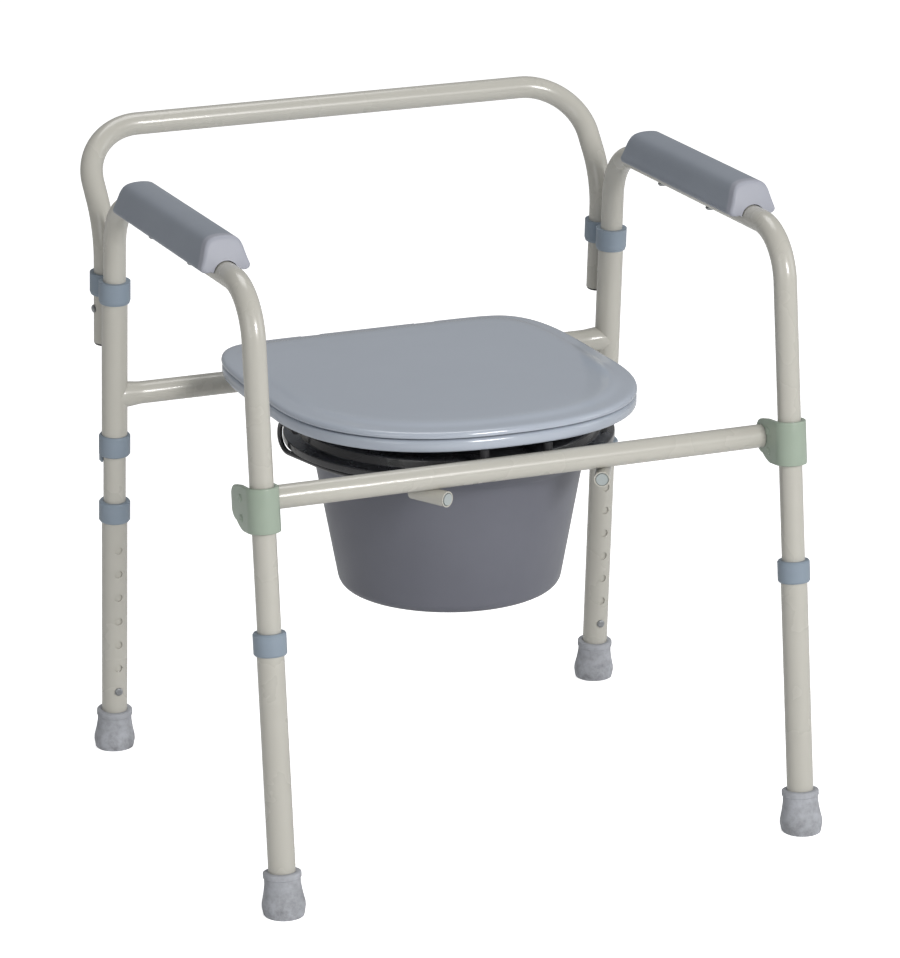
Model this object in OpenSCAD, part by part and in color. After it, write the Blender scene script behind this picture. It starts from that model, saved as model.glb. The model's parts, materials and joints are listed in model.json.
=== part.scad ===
// Folding commode chair: two swinging side frames, rear cross frame, hinged seat and lid,
// pail in a wire carrier.
// Millimetres, +X to the viewer's right from the front, front towards -Y, floor at Z = 0.

/* [Frame] */
// Half the distance between the left and right leg planes
leg_half_span = 265; // [250:1:285]
// Half the distance between front and rear feet at the floor
foot_half = 242; // [230:1:255]
// Height of the arm rest tube's axis
arm_z = 577; // [565:1:600]
// Lean of the front legs from upright, in degrees
front_tilt = 5.8; // [5:0.1:6.5]
// Lean of the rear legs from upright, in degrees
rear_tilt = 4.6; // [4:0.1:5.2]
// Outside diameter of frame tube, cross bars and back rest
tube_d = 22.2; // [20:0.1:23]
// Wall of frame tube
tube_wall = 1.3; // [1:0.1:2]
// Centre-line radius of the arm rest bends
arm_bend_r = 53; // [45:1:60]
// Radial running clearance of a tube in a tube or collar
run_gap = 0.1; // [0.05:0.01:0.1]

/* [Leg extensions] */
// Wall of the extension tube
ext_wall = 1.5; // [1.2:0.1:2]
// Height of the extension tube's upper end along the leg
ext_top = 262; // [255:1:275]
// Distance between height holes
hole_pitch = 25.4; // [22:0.1:26]
// Number of height holes
hole_count = 7; // [5:1:7]
// Height of the lowest hole along the leg
hole_low = 64; // [58:1:70]
// Diameter of the height holes
hole_d = 8; // [7:0.1:9]
// Outside diameter of the plastic collars
collar_d = 31; // [29:0.5:33]
// Height of the plastic collars
collar_h = 21; // [18:0.5:24]
// Greatest diameter of the rubber tip
tip_d = 41; // [38:0.5:44]
// Diameter of the rubber tip at its rim
tip_top_d = 34; // [31:0.5:36]
// Height of the rubber tip
tip_h = 41; // [36:1:45]

/* [Back rest and rear frame] */
// Height of the rear cross tube
rear_bar_z = 375; // [370:1:380]
// Lower end of the upright sleeves along the rear leg
sleeve_low = 319; // [315:1:325]
// How far below the arm rest tubes' axis the upright sleeves end
sleeve_drop = 87; // [82:1:97]
// Distance of the back rest tube behind the rear leg
back_offset = 29; // [28.5:0.5:30]
// Height of the back rest's rearward bend above the sleeves
back_bend_rise = 48.4; // [46:0.2:60]
// Angle by which the back rest leans back above that bend
back_lean = 44.5; // [40:0.5:48]
// Length from that bend to the axis of the back bar
back_reach = 110.8; // [106:0.2:120]
// Length of the back rest tubes below the sleeves' tops
back_tail = 67; // [60:1:75]
// Centre-line radius of the back rest's upper corners
back_corner_r = 59.5; // [50:0.5:60]
// Centre-line radius of the back rest's rearward bends
back_bend_r = 80; // [60:1:90]

/* [Front bar] */
// Height of the front bar's axis along the front leg
front_bar_s = 383; // [380:1:386]
// Distance of the front bar behind the front leg
front_bar_back = 28.5; // [28:0.5:29.5]
// Height of the brackets
bracket_h = 42; // [38:1:44]
// Thickness of a bracket's flanges and of its wrap
bracket_wall = 4.5; // [4:0.1:5]
// Diameter of the carrier socket tubes
socket_d = 15; // [14:0.5:16]
// Length of the carrier socket tubes
socket_l = 42; // [36:1:44]
// Distance of the socket plugs from the chair's centre plane
socket_x = 78; // [74:1:82]

/* [Seat and lid] */
// Half width of the lid
lid_half_w = 178; // [172:1:182]
// How far behind the front bar's axis the lid's front point is
lid_front_in = 3.4; // [3:0.1:4.4]
// Distance of the lid's widest line behind the pail's axis
lid_mid_back = 9; // [6:1:16]
// How far before the rear cross tube's axis the straight rear edge is
lid_rear_in = 0.8; // [0.5:0.1:2]
// Underside of the seat ring
seat_z = 396; // [396:0.5:398]
// Thickness of the seat ring
seat_h = 11.8; // [11:0.1:12]
// Height of the lid
lid_h = 11.2; // [10:0.1:11.6]
// How much narrower than the pail's lip the seat's opening is, on each side
opening_side = 54; // [48:1:62]
// How much shorter than the pail's lip the seat's opening is, at each end
opening_end = 30; // [26:1:38]
// Height of the hinge axis above the seat's underside
hinge_up = 7; // [6.8:0.1:7.2]
// Distance of the hinge axis behind the rear edge
hinge_back = 3.5; // [3.4:0.1:3.8]
// Distance of each hinge from the centre plane
hinge_x = 62; // [50:1:80]

/* [Pail and carrier] */
// From the front bar's axis to the pail's lip
pail_front_gap = 14; // [14:0.1:16]
// From the pail's lip to the rear cross tube's axis
pail_rear_gap = 57.8; // [54:0.1:62]
// Underside of the pail
pail_floor_z = 215; // [208:1:222]
// Top of the pail's lip
pail_lip_z = 366; // [364:0.5:366]
// How far the lip stands out from the pail's body
pail_flare = 27; // [25:1:31]
// How much the pail's body narrows to its bottom, in radius
pail_taper = 24; // [18:1:30]
// Wall of the pail
pail_wall = 2.6; // [2.2:0.1:3]
// Height of the pail lid above the lip
pail_lid_h = 21; // [18:1:21]
// Diameter of the carrier wire
wire_d = 5; // [4:0.1:5.5]

/* [Arm pads] */
// Length of an arm pad
pad_l = 252; // [230:1:256]
// Place of an arm pad's middle behind the middle of the feet
pad_mid_y = 6.5; // [2:0.5:7]
// Width of an arm pad
pad_w = 48; // [44:1:52]
// Height of an arm pad's top above the tube's axis
pad_h = 33.5; // [30:0.5:36]
// Height of an arm pad's lower edge above the tube's axis
pad_sit = 3; // [1:0.5:5]

/* [Hidden] */
$fn = 96;
gap = 0.3;
weld_up = 0.06;
tube_r = tube_d / 2;
bore_r = tube_r - tube_wall;
ext_in_r = tube_r + run_gap;
ext_r = ext_in_r + ext_wall;
collar_r = collar_d / 2;
sleeve_top = arm_z - sleeve_drop;
back_bend_s = sleeve_top + back_bend_rise;
back_low = sleeve_top - back_tail;
// The object's middle lies midway between the front tips and the back bar
back_bar_s = back_bend_s + back_reach * cos(back_lean);
back_bar_out = back_offset + back_reach * sin(back_lean);
back_over = back_bar_out * cos(rear_tilt) - back_bar_s * sin(rear_tilt) + tube_r;
tip_over = (tip_d / 2 - 0.5) / cos(front_tilt);
middle_y = max(0, (back_over - tip_over) / 2);
foot_front_y = -foot_half - middle_y;
foot_rear_y = foot_half - middle_y;
front_turn = 90 - front_tilt;
rear_turn = 90 - rear_tilt;
front_corner_s = arm_z / cos(front_tilt);
rear_corner_s = arm_z / cos(rear_tilt);
front_set = arm_bend_r * tan(front_turn / 2);
rear_set = arm_bend_r * tan(rear_turn / 2);
front_bend_s = front_corner_s - front_set;
rear_bend_s = rear_corner_s - rear_set;
arm_front_y = foot_front_y + front_corner_s * sin(front_tilt) + front_set;
arm_rear_y = foot_rear_y - rear_corner_s * sin(rear_tilt) - rear_set;
leg_foot_s = 44;
ext_foot_s = 6;
pin_head_r = hole_d / 2 - run_gap;
screw_pitch = 108;
screw_back = 22;
screw_r = 2.5;
rear_bar_s = rear_bar_z / cos(rear_tilt);
rear_bar_y = foot_rear_y - rear_bar_s * sin(rear_tilt);
clamp_low = sleeve_top - 17;
clamp_h = 22;
back_button_s = clamp_low - 15;
front_bar_y = foot_front_y + front_bar_s * sin(front_tilt) + front_bar_back * cos(front_tilt);
front_bar_z = front_bar_s * cos(front_tilt) - front_bar_back * sin(front_tilt);
bracket_r = tube_r + run_gap + bracket_wall;
bar_half = leg_half_span - bracket_r - gap;
spigot_l = 6;
spigot_gap = 0.8;
bracket_mid_s = front_bar_s - 3;
rivet_y = 15.5;
rivet_dz = 9.5;
rivet_r = 2.2;
pail_lip_r = (rear_bar_y - front_bar_y - pail_front_gap - pail_rear_gap) / 2;
pail_y = front_bar_y + pail_front_gap + pail_lip_r;
pail_top_r = pail_lip_r - pail_flare;
pail_low_r = pail_top_r - pail_taper;
opening_half_w = pail_lip_r - opening_side;
opening_half_l = pail_lip_r - opening_end;
lid_mid_y = pail_y + lid_mid_back;
lid_rear_y = rear_bar_y - lid_rear_in;
lid_front = lid_mid_y - front_bar_y - lid_front_in;
lid_z = seat_z + seat_h + 0.5;
lid_hollow = lid_h - 6;
hinge_y = lid_rear_y + hinge_back;
hinge_z = seat_z + hinge_up;
pin_r = 2.5;
knuckle_r = 4.9;
knuckle_w = 7.4;
hinge_notch = 9;
ear_w = 3;
notch_w = 2 * (knuckle_w + ear_w + 1);
wire_r = wire_d / 2;
lip_h = 4;
corner_r = 11;
ring_z = pail_lip_z - lip_h - gap - wire_r;
ring_r = pail_lip_r - wire_r - 2.5;
socket_z = ring_z;
socket_y = front_bar_y - 12.5;
// Turn of a socket from straight rearwards, so that its wire meets the ring as a tangent
socket_reach = norm([socket_x, socket_y - pail_y]);
socket_turn = atan2(pail_y - socket_y, socket_x) - acos(ring_r / socket_reach);
tangent_l = sqrt(socket_reach * socket_reach - ring_r * ring_r);
loop_x = pail_lip_r + wire_r + 2.5;
sleeve_soft_r = wire_r + 2.4;
loop_top_z = seat_z - gap - sleeve_soft_r;
loop_r = (loop_top_z - ring_z) / 2;
loop_y = pail_y + 13;
pad_y = pad_mid_y - middle_y;
pad_z = arm_z + pad_sit;
pad_rise = pad_h - pad_sit;

frame_paint = "#c9c7bd";
collar_blue = "#8b9aa8";
pad_grey = "#858b95";
seat_grey = "#9aa3ad";
pail_grey = "#6f6f78";
bracket_green = "#93a793";
tip_grey = "#8f9296";
wire_black = "#1d1e20";
steel = "#a9abad";
plug_grey = "#a6aeae";

// ---- Places -------------------------------------------------------------------------------------------------

// A leg's own frame: Z up along the leg from the floor, Y towards the inside of the chair
module on_leg(side, front) {
    if (front)
        translate([side * leg_half_span, foot_front_y, 0])
            rotate([-front_tilt, 0, 0])
                children();
    else
        translate([side * leg_half_span, foot_rear_y, 0])
            rotate([0, 0, 180])
                rotate([-rear_tilt, 0, 0])
                    children();
}

// The leaning plane of the rear legs: Z along the legs, Y to the rear, X across
module on_rear_plane() {
    translate([0, foot_rear_y, 0])
        rotate([rear_tilt, 0, 0])
            children();
}

module at_both_sides() {
    for (side = [-1, 1])
        scale_x(side)
            children();
}

module scale_x(side) {
    if (side < 0)
        mirror([1, 0, 0])
            children();
    else
        children();
}

// ---- Shapes -------------------------------------------------------------------------------------------------

module pipe(outer, inner, h) {
    difference() {
        cylinder(r = outer, h = h);
        translate([0, 0, -1])
            cylinder(r = inner, h = h + 2);
    }
}

// Round bar between two points
module rod(a, b, r, fn = 32) {
    d = b - a;
    l = norm(d);
    translate(a)
        rotate([0, acos(d.z / l), atan2(d.y, d.x)])
            cylinder(r = r, h = l, $fn = fn);
}

// Bend of a round bar, from the origin along +Z and turning towards +Y. A faint ring marks its start, and
// its end unless another bend's ring is there.
module bend(turn, bend_r, r, end_ring = true) {
    short = 0.3;
    translate([0, bend_r, 0])
        rotate([90, 0, -90]) {
            rotate([0, 0, short])
                rotate_extrude(angle = turn - 2 * short)
                    translate([bend_r, 0])
                        circle(r = r);
            for (a = end_ring ? [0, turn] : [0])
                rotate([0, 0, a])
                    translate([bend_r, 1, 0])
                        rotate([90, 0, 0])
                            cylinder(r = r + weld_up, h = 2);
        }
}

// One side frame's run of tube, front leg to rear leg
module side_run(side, r, cut) {
    on_leg(side, true) {
        translate([0, 0, leg_foot_s - cut])
            cylinder(r = r, h = front_bend_s - leg_foot_s + cut);
        translate([0, 0, front_bend_s])
            bend(front_turn, arm_bend_r, r);
    }
    translate([side * leg_half_span, arm_front_y, arm_z])
        rotate([-90, 0, 0])
            cylinder(r = r, h = arm_rear_y - arm_front_y);
    on_leg(side, false) {
        translate([0, 0, leg_foot_s - cut])
            cylinder(r = r, h = rear_bend_s - leg_foot_s + cut);
        translate([0, 0, rear_bend_s])
            bend(rear_turn, arm_bend_r, r);
    }
}

// Plastic ring that caps a tube of radius ext_r and narrows onto the thinner tube above or below it
module collar(narrow_low) {
    lip = 4;
    difference() {
        union() {
            translate([0, 0, 1.5])
                cylinder(r = collar_r, h = collar_h - 3);
            cylinder(r1 = collar_r - 1, r2 = collar_r, h = 1.5);
            translate([0, 0, collar_h - 1.5])
                cylinder(r1 = collar_r, r2 = collar_r - 1, h = 1.5);
        }
        translate([0, 0, -1])
            cylinder(r = ext_in_r, h = collar_h + 2);
        translate([0, 0, narrow_low ? lip : -1])
            cylinder(r = ext_r, h = collar_h - lip + 1);
    }
}

// Outline of seat and lid: full oval in front, squarer behind, straight rear edge
function oval_x(t, a, n) = a * sign(cos(t)) * pow(abs(cos(t)), 2 / n);
function oval_y(t, b, n) = b * sign(sin(t)) * pow(abs(sin(t)), 2 / n);
function outline_points(inset, steps = 30) =
    let (
        a = lid_half_w - inset,
        front = lid_front - inset,
        rear = lid_rear_y - lid_mid_y - inset,
        behind = 1.063 * rear,
        n_front = 2.35,
        n_rear = 5,
        front_arc = [for (i = [0:steps]) let (t = 180 + 180 * i / steps)
            [oval_x(t, a, n_front), lid_mid_y + oval_y(t, front, n_front)]],
        edge_x = a * pow(1 - pow(rear / behind, n_rear), 1 / n_rear),
        edge_t = acos(pow(edge_x / a, n_rear / 2)),
        side_steps = floor(steps / 3),
        right = [for (i = [1:side_steps]) let (t = edge_t * i / side_steps)
            [oval_x(t, a, n_rear), lid_mid_y + oval_y(t, behind, n_rear)]],
        left = [for (i = [side_steps:-1:1]) let (t = edge_t * i / side_steps)
            [-oval_x(t, a, n_rear), lid_mid_y + oval_y(t, behind, n_rear)]]
    )
    concat(front_arc, right, left);

module outline_slab(inset, z, h) {
    translate([0, 0, z])
        linear_extrude(h)
            polygon(outline_points(inset));
}

// ---- Rear frame ---------------------------------------------------------------------------------------------

module rear_bar() {
    color(frame_paint)
        on_rear_plane()
            translate([0, 0, rear_bar_s])
                difference() {
                    rotate([0, 90, 0]) {
                        translate([0, 0, -leg_half_span])
                            cylinder(r = tube_r, h = 2 * leg_half_span);
                        for (end = [-1, 1])
                            translate([0, 0, end * (leg_half_span - ext_r - 1) - 2])
                                cylinder(r = tube_r + 1.4, h = 4);
                    }
                    rotate([0, 90, 0])
                        translate([0, 0, -leg_half_span - 1])
                            cylinder(r = bore_r, h = 2 * leg_half_span + 2);
                    for (side = [-1, 1])
                        translate([side * leg_half_span, 0, -40])
                            cylinder(r = ext_r, h = 80);
                }
}

module rear_sleeve(side) {
    color(frame_paint)
        on_leg(side, false)
            translate([0, 0, sleeve_low])
                pipe(ext_r, ext_in_r, sleeve_top - sleeve_low);
}

// Clamp at the sleeve's top that also holds the back rest tube behind the leg
module back_clamp(side) {
    color(collar_blue)
        on_leg(side, false)
            translate([0, 0, clamp_low])
                difference() {
                    union() {
                        cylinder(r1 = collar_r - 1, r2 = collar_r, h = 3);
                        translate([0, 0, 3])
                            cylinder(r = collar_r, h = clamp_h - 3);
                        translate([0, -back_offset, 0]) {
                            cylinder(r1 = collar_r - 1.5, r2 = collar_r - 0.5, h = 3);
                            translate([0, 0, 3])
                                cylinder(r = collar_r - 0.5, h = clamp_h - 3);
                        }
                    }
                    translate([0, 0, -1])
                        cylinder(r = ext_in_r, h = 30);
                    translate([0, 0, -1])
                        cylinder(r = ext_r, h = sleeve_top - clamp_low + 1);
                    translate([0, -back_offset, -1])
                        cylinder(r = ext_in_r, h = 30);
                }
}

module sleeve_collar(side) {
    color(collar_blue)
        on_leg(side, false)
            translate([0, 0, sleeve_low - 4]) {
                collar(true);
                // tail tab that stops the collar turning
                scale_x(-side)
                    difference() {
                        translate([9, -9, -8])
                            cube([4, 7, 10]);
                        translate([0, 0, -9])
                            cylinder(r = ext_in_r + 0.2, h = 12);
                    }
            }
}

// ---- Side frames --------------------------------------------------------------------------------------------

module side_frame(side) {
    color(frame_paint)
        difference() {
            side_run(side, tube_r, 0);
            side_run(side, bore_r, 1);
            for (front = [true, false])
                on_leg(side, front)
                    translate([0, 0, hole_low])
                        rotate([-90, 0, 0])
                            cylinder(r = hole_d / 2, h = tube_d);
            for (end = [-1, 1])
                translate([side * leg_half_span, pad_y + screw_back + end * screw_pitch / 2, arm_z - tube_d])
                    cylinder(r = screw_r, h = 2 * tube_d);
        }
}

// Section of an arm pad: flat rounded top, sloping sides that hollow out to small feet
pad_half = [
    [0.38, 0], [0.43, 0.01], [0.475, 0.045], [0.5, 0.11], [0.497, 0.17], [0.478, 0.25], [0.455, 0.34],
    [0.434, 0.44], [0.412, 0.55], [0.387, 0.68], [0.355, 0.79], [0.315, 0.875], [0.26, 0.935],
    [0.18, 0.975], [0.08, 0.996]
];
function pad_points(w, h) =
    concat(
        [for (p = pad_half) [p.x * w, p.y * h]],
        [[0, h]],
        [for (i = [len(pad_half) - 1:-1:0]) [-pad_half[i].x * w, pad_half[i].y * h]]
    );

module arm_pad(side) {
    half = pad_l / 2;
    color(pad_grey)
        translate([side * leg_half_span, pad_y, pad_z])
            difference() {
                intersection() {
                    translate([0, half, 0])
                        rotate([90, 0, 0])
                            linear_extrude(pad_l)
                                polygon(pad_points(pad_w, pad_rise));
                    // sloped ends, the front one steeper at the top
                    rotate([90, 0, 90])
                        translate([0, 0, -pad_w])
                            linear_extrude(2 * pad_w)
                                polygon([
                                    [-half + 1, -1], [-half, 3], [-half + 1.5, pad_rise * 0.6],
                                    [-half + 4.5, pad_rise * 0.85], [-half + 9, pad_rise + 2],
                                    [half - 14, pad_rise + 2], [half - 7, pad_rise * 0.88],
                                    [half - 3, pad_rise * 0.6], [half, 3], [half - 1, -1]
                                ]);
                }
                translate([0, -half - 1, -pad_sit])
                    rotate([-90, 0, 0])
                        cylinder(r = tube_r, h = pad_l + 2);
                for (end = [-1, 1])
                    translate([0, screw_back + end * screw_pitch / 2, -pad_sit])
                        cylinder(r = screw_r, h = pad_h * 0.75);
            }
}

module arm_screws(side) {
    color(steel)
        for (end = [-1, 1])
            translate([side * leg_half_span, pad_y + screw_back + end * screw_pitch / 2,
                       arm_z - tube_r - 0.2]) {
                cylinder(r = screw_r - 0.1, h = tube_r + pad_h * 0.7);
                translate([0, 0, -2.4])
                    cylinder(r1 = 3.4, r2 = 4.6, h = 1.4);
                translate([0, 0, -1])
                    cylinder(r = 4.6, h = 1);
            }
}

// Side view of a bracket: full height at the leg, round end about the bar
function bracket_side() =
    let (
        h = bracket_h / 2,
        up = front_bar_s - bracket_mid_s,
        end_r = 11,
        end_h = 5.5
    )
    concat(
        [[0, -h], [0, h], [rivet_y + 2, h]],
        [for (i = [0:12]) let (t = 90 - 7.5 * i)
            [front_bar_back + end_r * cos(t), up + end_h + end_r * sin(t)]],
        [for (i = [0:12]) let (t = -7.5 * i)
            [front_bar_back + end_r * cos(t), up - end_h + end_r * sin(t)]],
        [[rivet_y - 2, -h]]
    );

module bar_bracket(side) {
    color(bracket_green)
        on_leg(side, true)
            translate([0, 0, bracket_mid_s])
                difference() {
                    union() {
                        translate([0, 0, -bracket_h / 2])
                            cylinder(r = bracket_r, h = bracket_h);
                        rotate([90, 0, 90])
                            translate([0, 0, -bracket_r])
                                linear_extrude(2 * bracket_r)
                                    polygon(bracket_side());
                        // spigot that carries the bar's end
                        translate([-side * (bracket_r - 1), front_bar_back, front_bar_s - bracket_mid_s])
                            rotate([0, -side * 90, 0])
                                cylinder(r = bore_r - spigot_gap, h = spigot_l + 1);
                    }
                    translate([0, 0, -bracket_h])
                        cylinder(r = tube_r, h = 2 * bracket_h);
                    // open space between the flanges
                    translate([-bracket_r + bracket_wall, rivet_y + 6, -bracket_h])
                        cube([2 * (bracket_r - bracket_wall), 60, 2 * bracket_h]);
                    for (dz = [-rivet_dz, rivet_dz])
                        translate([-bracket_r - 1, rivet_y, dz])
                            rotate([0, 90, 0])
                                cylinder(r = rivet_r, h = 2 * bracket_r + 2);
                }
}

module bracket_rivets(side) {
    head = 1.2;
    color(bracket_green)
        on_leg(side, true)
            for (dz = [-rivet_dz, rivet_dz])
                translate([-bracket_r - head, rivet_y, bracket_mid_s + dz])
                    rotate([0, 90, 0]) {
                        cylinder(r = rivet_r, h = 2 * bracket_r + 2 * head);
                        cylinder(r1 = rivet_r + 0.6, r2 = rivet_r + 1.6, h = head);
                        translate([0, 0, 2 * bracket_r + head])
                            cylinder(r1 = rivet_r + 1.6, r2 = rivet_r + 0.6, h = head);
                    }
}

// ---- Front bar ----------------------------------------------------------------------------------------------

module on_front_bar() {
    translate([0, front_bar_y, front_bar_z])
        rotate([0, 90, 0])
            children();
}

module front_bar() {
    color(frame_paint)
        on_front_bar()
            translate([0, 0, -bar_half])
                pipe(tube_r, bore_r, 2 * bar_half);
}

// A socket's own frame: Z along the tube from its plugged front end
module on_socket() {
    at_both_sides()
        translate([socket_x, socket_y, socket_z])
            rotate([-90, 0, -socket_turn])
                children();
}

module carrier_sockets() {
    color(frame_paint)
        difference() {
            on_socket()
                pipe(socket_d / 2, socket_d / 2 - 1.2, socket_l);
            on_front_bar()
                translate([0, 0, -bar_half])
                    cylinder(r = tube_r, h = 2 * bar_half);
        }
}

module socket_plugs() {
    color(plug_grey)
        difference() {
            on_socket() {
                translate([0, 0, -0.6])
                    cylinder(r = socket_d / 2 - 2, h = 3);
                translate([0, 0, 1.5])
                    cylinder(r = socket_d / 2 - 1.2, h = 8);
            }
            on_front_bar()
                translate([0, 0, -bar_half])
                    cylinder(r = tube_r, h = 2 * bar_half);
        }
}

// ---- Pail carrier -------------------------------------------------------------------------------------------

hook_x = 34;
hook_r = tube_r + wire_r + 0.4;
ferrule_r = wire_r + 0.3;

// Part of a ring of wire in the XY plane
module wire_arc(r, turn) {
    rotate_extrude(angle = turn)
        translate([r, 0])
            circle(r = wire_r, $fn = 48);
}

// Horseshoe of wire about the pail, tails into the sockets, two rear hooks, a seat rest loop at each side
module pail_carrier() {
    tail_from = [socket_x + 10 * sin(socket_turn), socket_y + 10 * cos(socket_turn), ring_z];
    touch = [socket_x + tangent_l * sin(socket_turn), socket_y + tangent_l * cos(socket_turn), ring_z];
    heading = [sin(socket_turn), cos(socket_turn), 0];
    hook_from = [hook_x, pail_y + sqrt(ring_r * ring_r - hook_x * hook_x), ring_z];
    hook_to = [hook_x, rear_bar_y - hook_r, ring_z];
    side_from = [sqrt(ring_r * ring_r - 30 * 30), pail_y - 30, ring_z];
    side_to = [loop_x, loop_y, ring_z];
    inset = 0.2;
    color(wire_black) {
        translate([0, pail_y, ring_z])
            rotate([0, 0, inset - socket_turn])
                wire_arc(ring_r, 180 + 2 * socket_turn - 2 * inset);
        at_both_sides() {
            rod(tail_from, touch - 0.5 * heading, wire_r);
            rod(touch - 3 * heading, touch + 2 * heading, ferrule_r);
            rod(hook_from, hook_to, wire_r);
            rod(hook_to, [hook_to.x, hook_to.y, rear_bar_z - 0.5], wire_r);
            rod([hook_to.x, hook_to.y, rear_bar_z - 3], [hook_to.x, hook_to.y, rear_bar_z + 1], ferrule_r);
            for (joint = [hook_from, hook_to, side_from, side_to])
                translate(joint)
                    sphere(r = ferrule_r, $fn = 48);
            translate([hook_x, rear_bar_y, rear_bar_z])
                rotate([90, 0, 90])
                    rotate([0, 0, 10])
                        wire_arc(hook_r, 169);
            rod(side_from, side_to, wire_r);
            translate([loop_x, loop_y, ring_z + loop_r])
                rotate([90, 0, 90])
                    rotate([0, 0, -90])
                        wire_arc(loop_r, 180);
            rod([loop_x, loop_y, loop_top_z], [loop_x, loop_y - 30, loop_top_z], wire_r);
            rod([loop_x, loop_y + 1, loop_top_z], [loop_x, loop_y - 2, loop_top_z], ferrule_r);
        }
    }
}

module carrier_sleeves() {
    color(wire_black)
        at_both_sides()
            translate([loop_x, loop_y - 3, loop_top_z])
                rotate([90, 0, 0])
                    pipe(sleeve_soft_r, wire_r, 26);
}

// ---- Hinges -------------------------------------------------------------------------------------------------

module hinge_brackets() {
    floor_z = hinge_z - 10.5;
    width = 2 * knuckle_w + 1 + 2 * ear_w;
    color(steel)
        at_both_sides()
            translate([hinge_x, 0, 0])
                difference() {
                    union() {
                        translate([-width / 2, rear_bar_y, rear_bar_z])
                            rotate([0, 90, 0])
                                cylinder(r = tube_r + 2.2, h = width);
                        translate([-width / 2, hinge_y - knuckle_r, rear_bar_z])
                            cube([width, 2 * knuckle_r, floor_z - rear_bar_z]);
                        for (end = [-1, 1])
                            translate([end * (width - ear_w) / 2 - ear_w / 2, hinge_y, 0]) {
                                translate([0, -knuckle_r, rear_bar_z])
                                    cube([ear_w, 2 * knuckle_r, hinge_z - rear_bar_z]);
                                translate([0, 0, hinge_z])
                                    rotate([0, 90, 0])
                                        cylinder(r = knuckle_r, h = ear_w);
                            }
                    }
                    translate([-width, rear_bar_y, rear_bar_z])
                        rotate([0, 90, 0])
                            cylinder(r = tube_r, h = 2 * width);
                    // the clip is open underneath
                    translate([-width, rear_bar_y - 8, rear_bar_z - 20])
                        cube([2 * width, 16, 20]);
                    translate([-width, hinge_y, hinge_z])
                        rotate([0, 90, 0])
                            cylinder(r = pin_r, h = 2 * width);
                }
}

module hinge_pins() {
    l = 2 * knuckle_w + 1 + 2 * ear_w;
    color(steel)
        at_both_sides()
            translate([hinge_x - l / 2, hinge_y, hinge_z])
                rotate([0, 90, 0]) {
                    cylinder(r = pin_r, h = l);
                    for (z = [-1.2, l])
                        translate([0, 0, z])
                            cylinder(r = pin_r + 1.2, h = 1.2);
                }
}

// Seat's knuckle of each hinge, with its tongue to the seat
module seat_knuckles() {
    at_both_sides()
        translate([hinge_x - knuckle_w - 0.2, hinge_y, hinge_z]) {
            rotate([0, 90, 0])
                cylinder(r = knuckle_r, h = knuckle_w);
            translate([0, -hinge_notch - 3, -knuckle_r])
                cube([knuckle_w, hinge_notch + 3, 2 * knuckle_r - 0.3]);
        }
}

// Lid's knuckle of each hinge, with its tongue to the lid
module lid_knuckles() {
    at_both_sides()
        translate([hinge_x + 0.2, hinge_y, hinge_z]) {
            rotate([0, 90, 0])
                cylinder(r = knuckle_r, h = knuckle_w);
            translate([0, -knuckle_r, 0])
                cube([knuckle_w, knuckle_r, lid_z - hinge_z + 3]);
            translate([0, -hinge_notch - 6, lid_z - hinge_z])
                cube([knuckle_w, hinge_notch + 6, 3]);
        }
}

// Room for the hinge ears in a rear edge
module hinge_notches(z, h) {
    at_both_sides()
        translate([hinge_x - notch_w / 2, hinge_y - hinge_notch, z])
            cube([notch_w, 20, h]);
}

module hinge_bores() {
    translate([-hinge_x - 40, hinge_y, hinge_z])
        rotate([0, 90, 0])
            cylinder(r = pin_r + run_gap, h = 2 * hinge_x + 80);
}

// ---- Seat and lid -------------------------------------------------------------------------------------------

function opening_points(grow) =
    [for (i = [0:59]) let (t = 6 * i)
        [oval_x(t, opening_half_w + grow, 2.2), pail_y - 2 + oval_y(t, opening_half_l + grow, 2.2)]];

module opening_slab(grow, z, h) {
    translate([0, 0, z])
        linear_extrude(h)
            polygon(opening_points(grow));
}

module seat_ring() {
    color(seat_grey)
        difference() {
            union() {
                difference() {
                    union() {
                        outline_slab(0.5, seat_z + 2, seat_h - 3.5);
                        outline_slab(2, seat_z, seat_h - 0.8);
                        outline_slab(5, seat_z, seat_h);
                    }
                    opening_slab(0, seat_z - 1, seat_h + 2);
                    opening_slab(3, seat_z + seat_h - 2.4, seat_h);
                    opening_slab(8, seat_z + seat_h - 1, seat_h);
                    // hollow underside between the rim and the opening's wall
                    difference() {
                        outline_slab(6, seat_z - 1, seat_h - 3);
                        opening_slab(4, seat_z - 2, seat_h);
                        outline_rear_land();
                    }
                    hinge_notches(seat_z - 1, seat_h + 2);
                }
                seat_knuckles();
            }
            hinge_bores();
        }
}

// Solid lands under the seat where the hinges, bumpers and loops bear
module outline_rear_land() {
    translate([-lid_half_w, lid_rear_y - 24, seat_z - 2])
        cube([2 * lid_half_w, 24, seat_h + 2]);
    at_both_sides()
        translate([loop_x - 9, loop_y - 34, seat_z - 2])
            cube([18, 36, seat_h + 2]);
    translate([-48, lid_mid_y - lid_front, seat_z - 2])
        cube([96, 26, seat_h + 2]);
}

bumper_x = 32;
bumper_in = 8.5;
bumper_r = 4.5;

// Soft feet under the seat that stand on the front bar
module seat_bumpers() {
    foot_z = front_bar_z + sqrt(tube_r * tube_r - bumper_in * bumper_in) - 1.4;
    color(wire_black)
        at_both_sides()
            translate([bumper_x, front_bar_y, 0])
                difference() {
                    translate([0, bumper_in, foot_z])
                        cylinder(r = bumper_r, h = seat_z - foot_z);
                    translate([-bumper_r - 1, 0, front_bar_z])
                        rotate([0, 90, 0])
                            cylinder(r = tube_r + gap, h = 2 * bumper_r + 2);
                }
}

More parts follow.
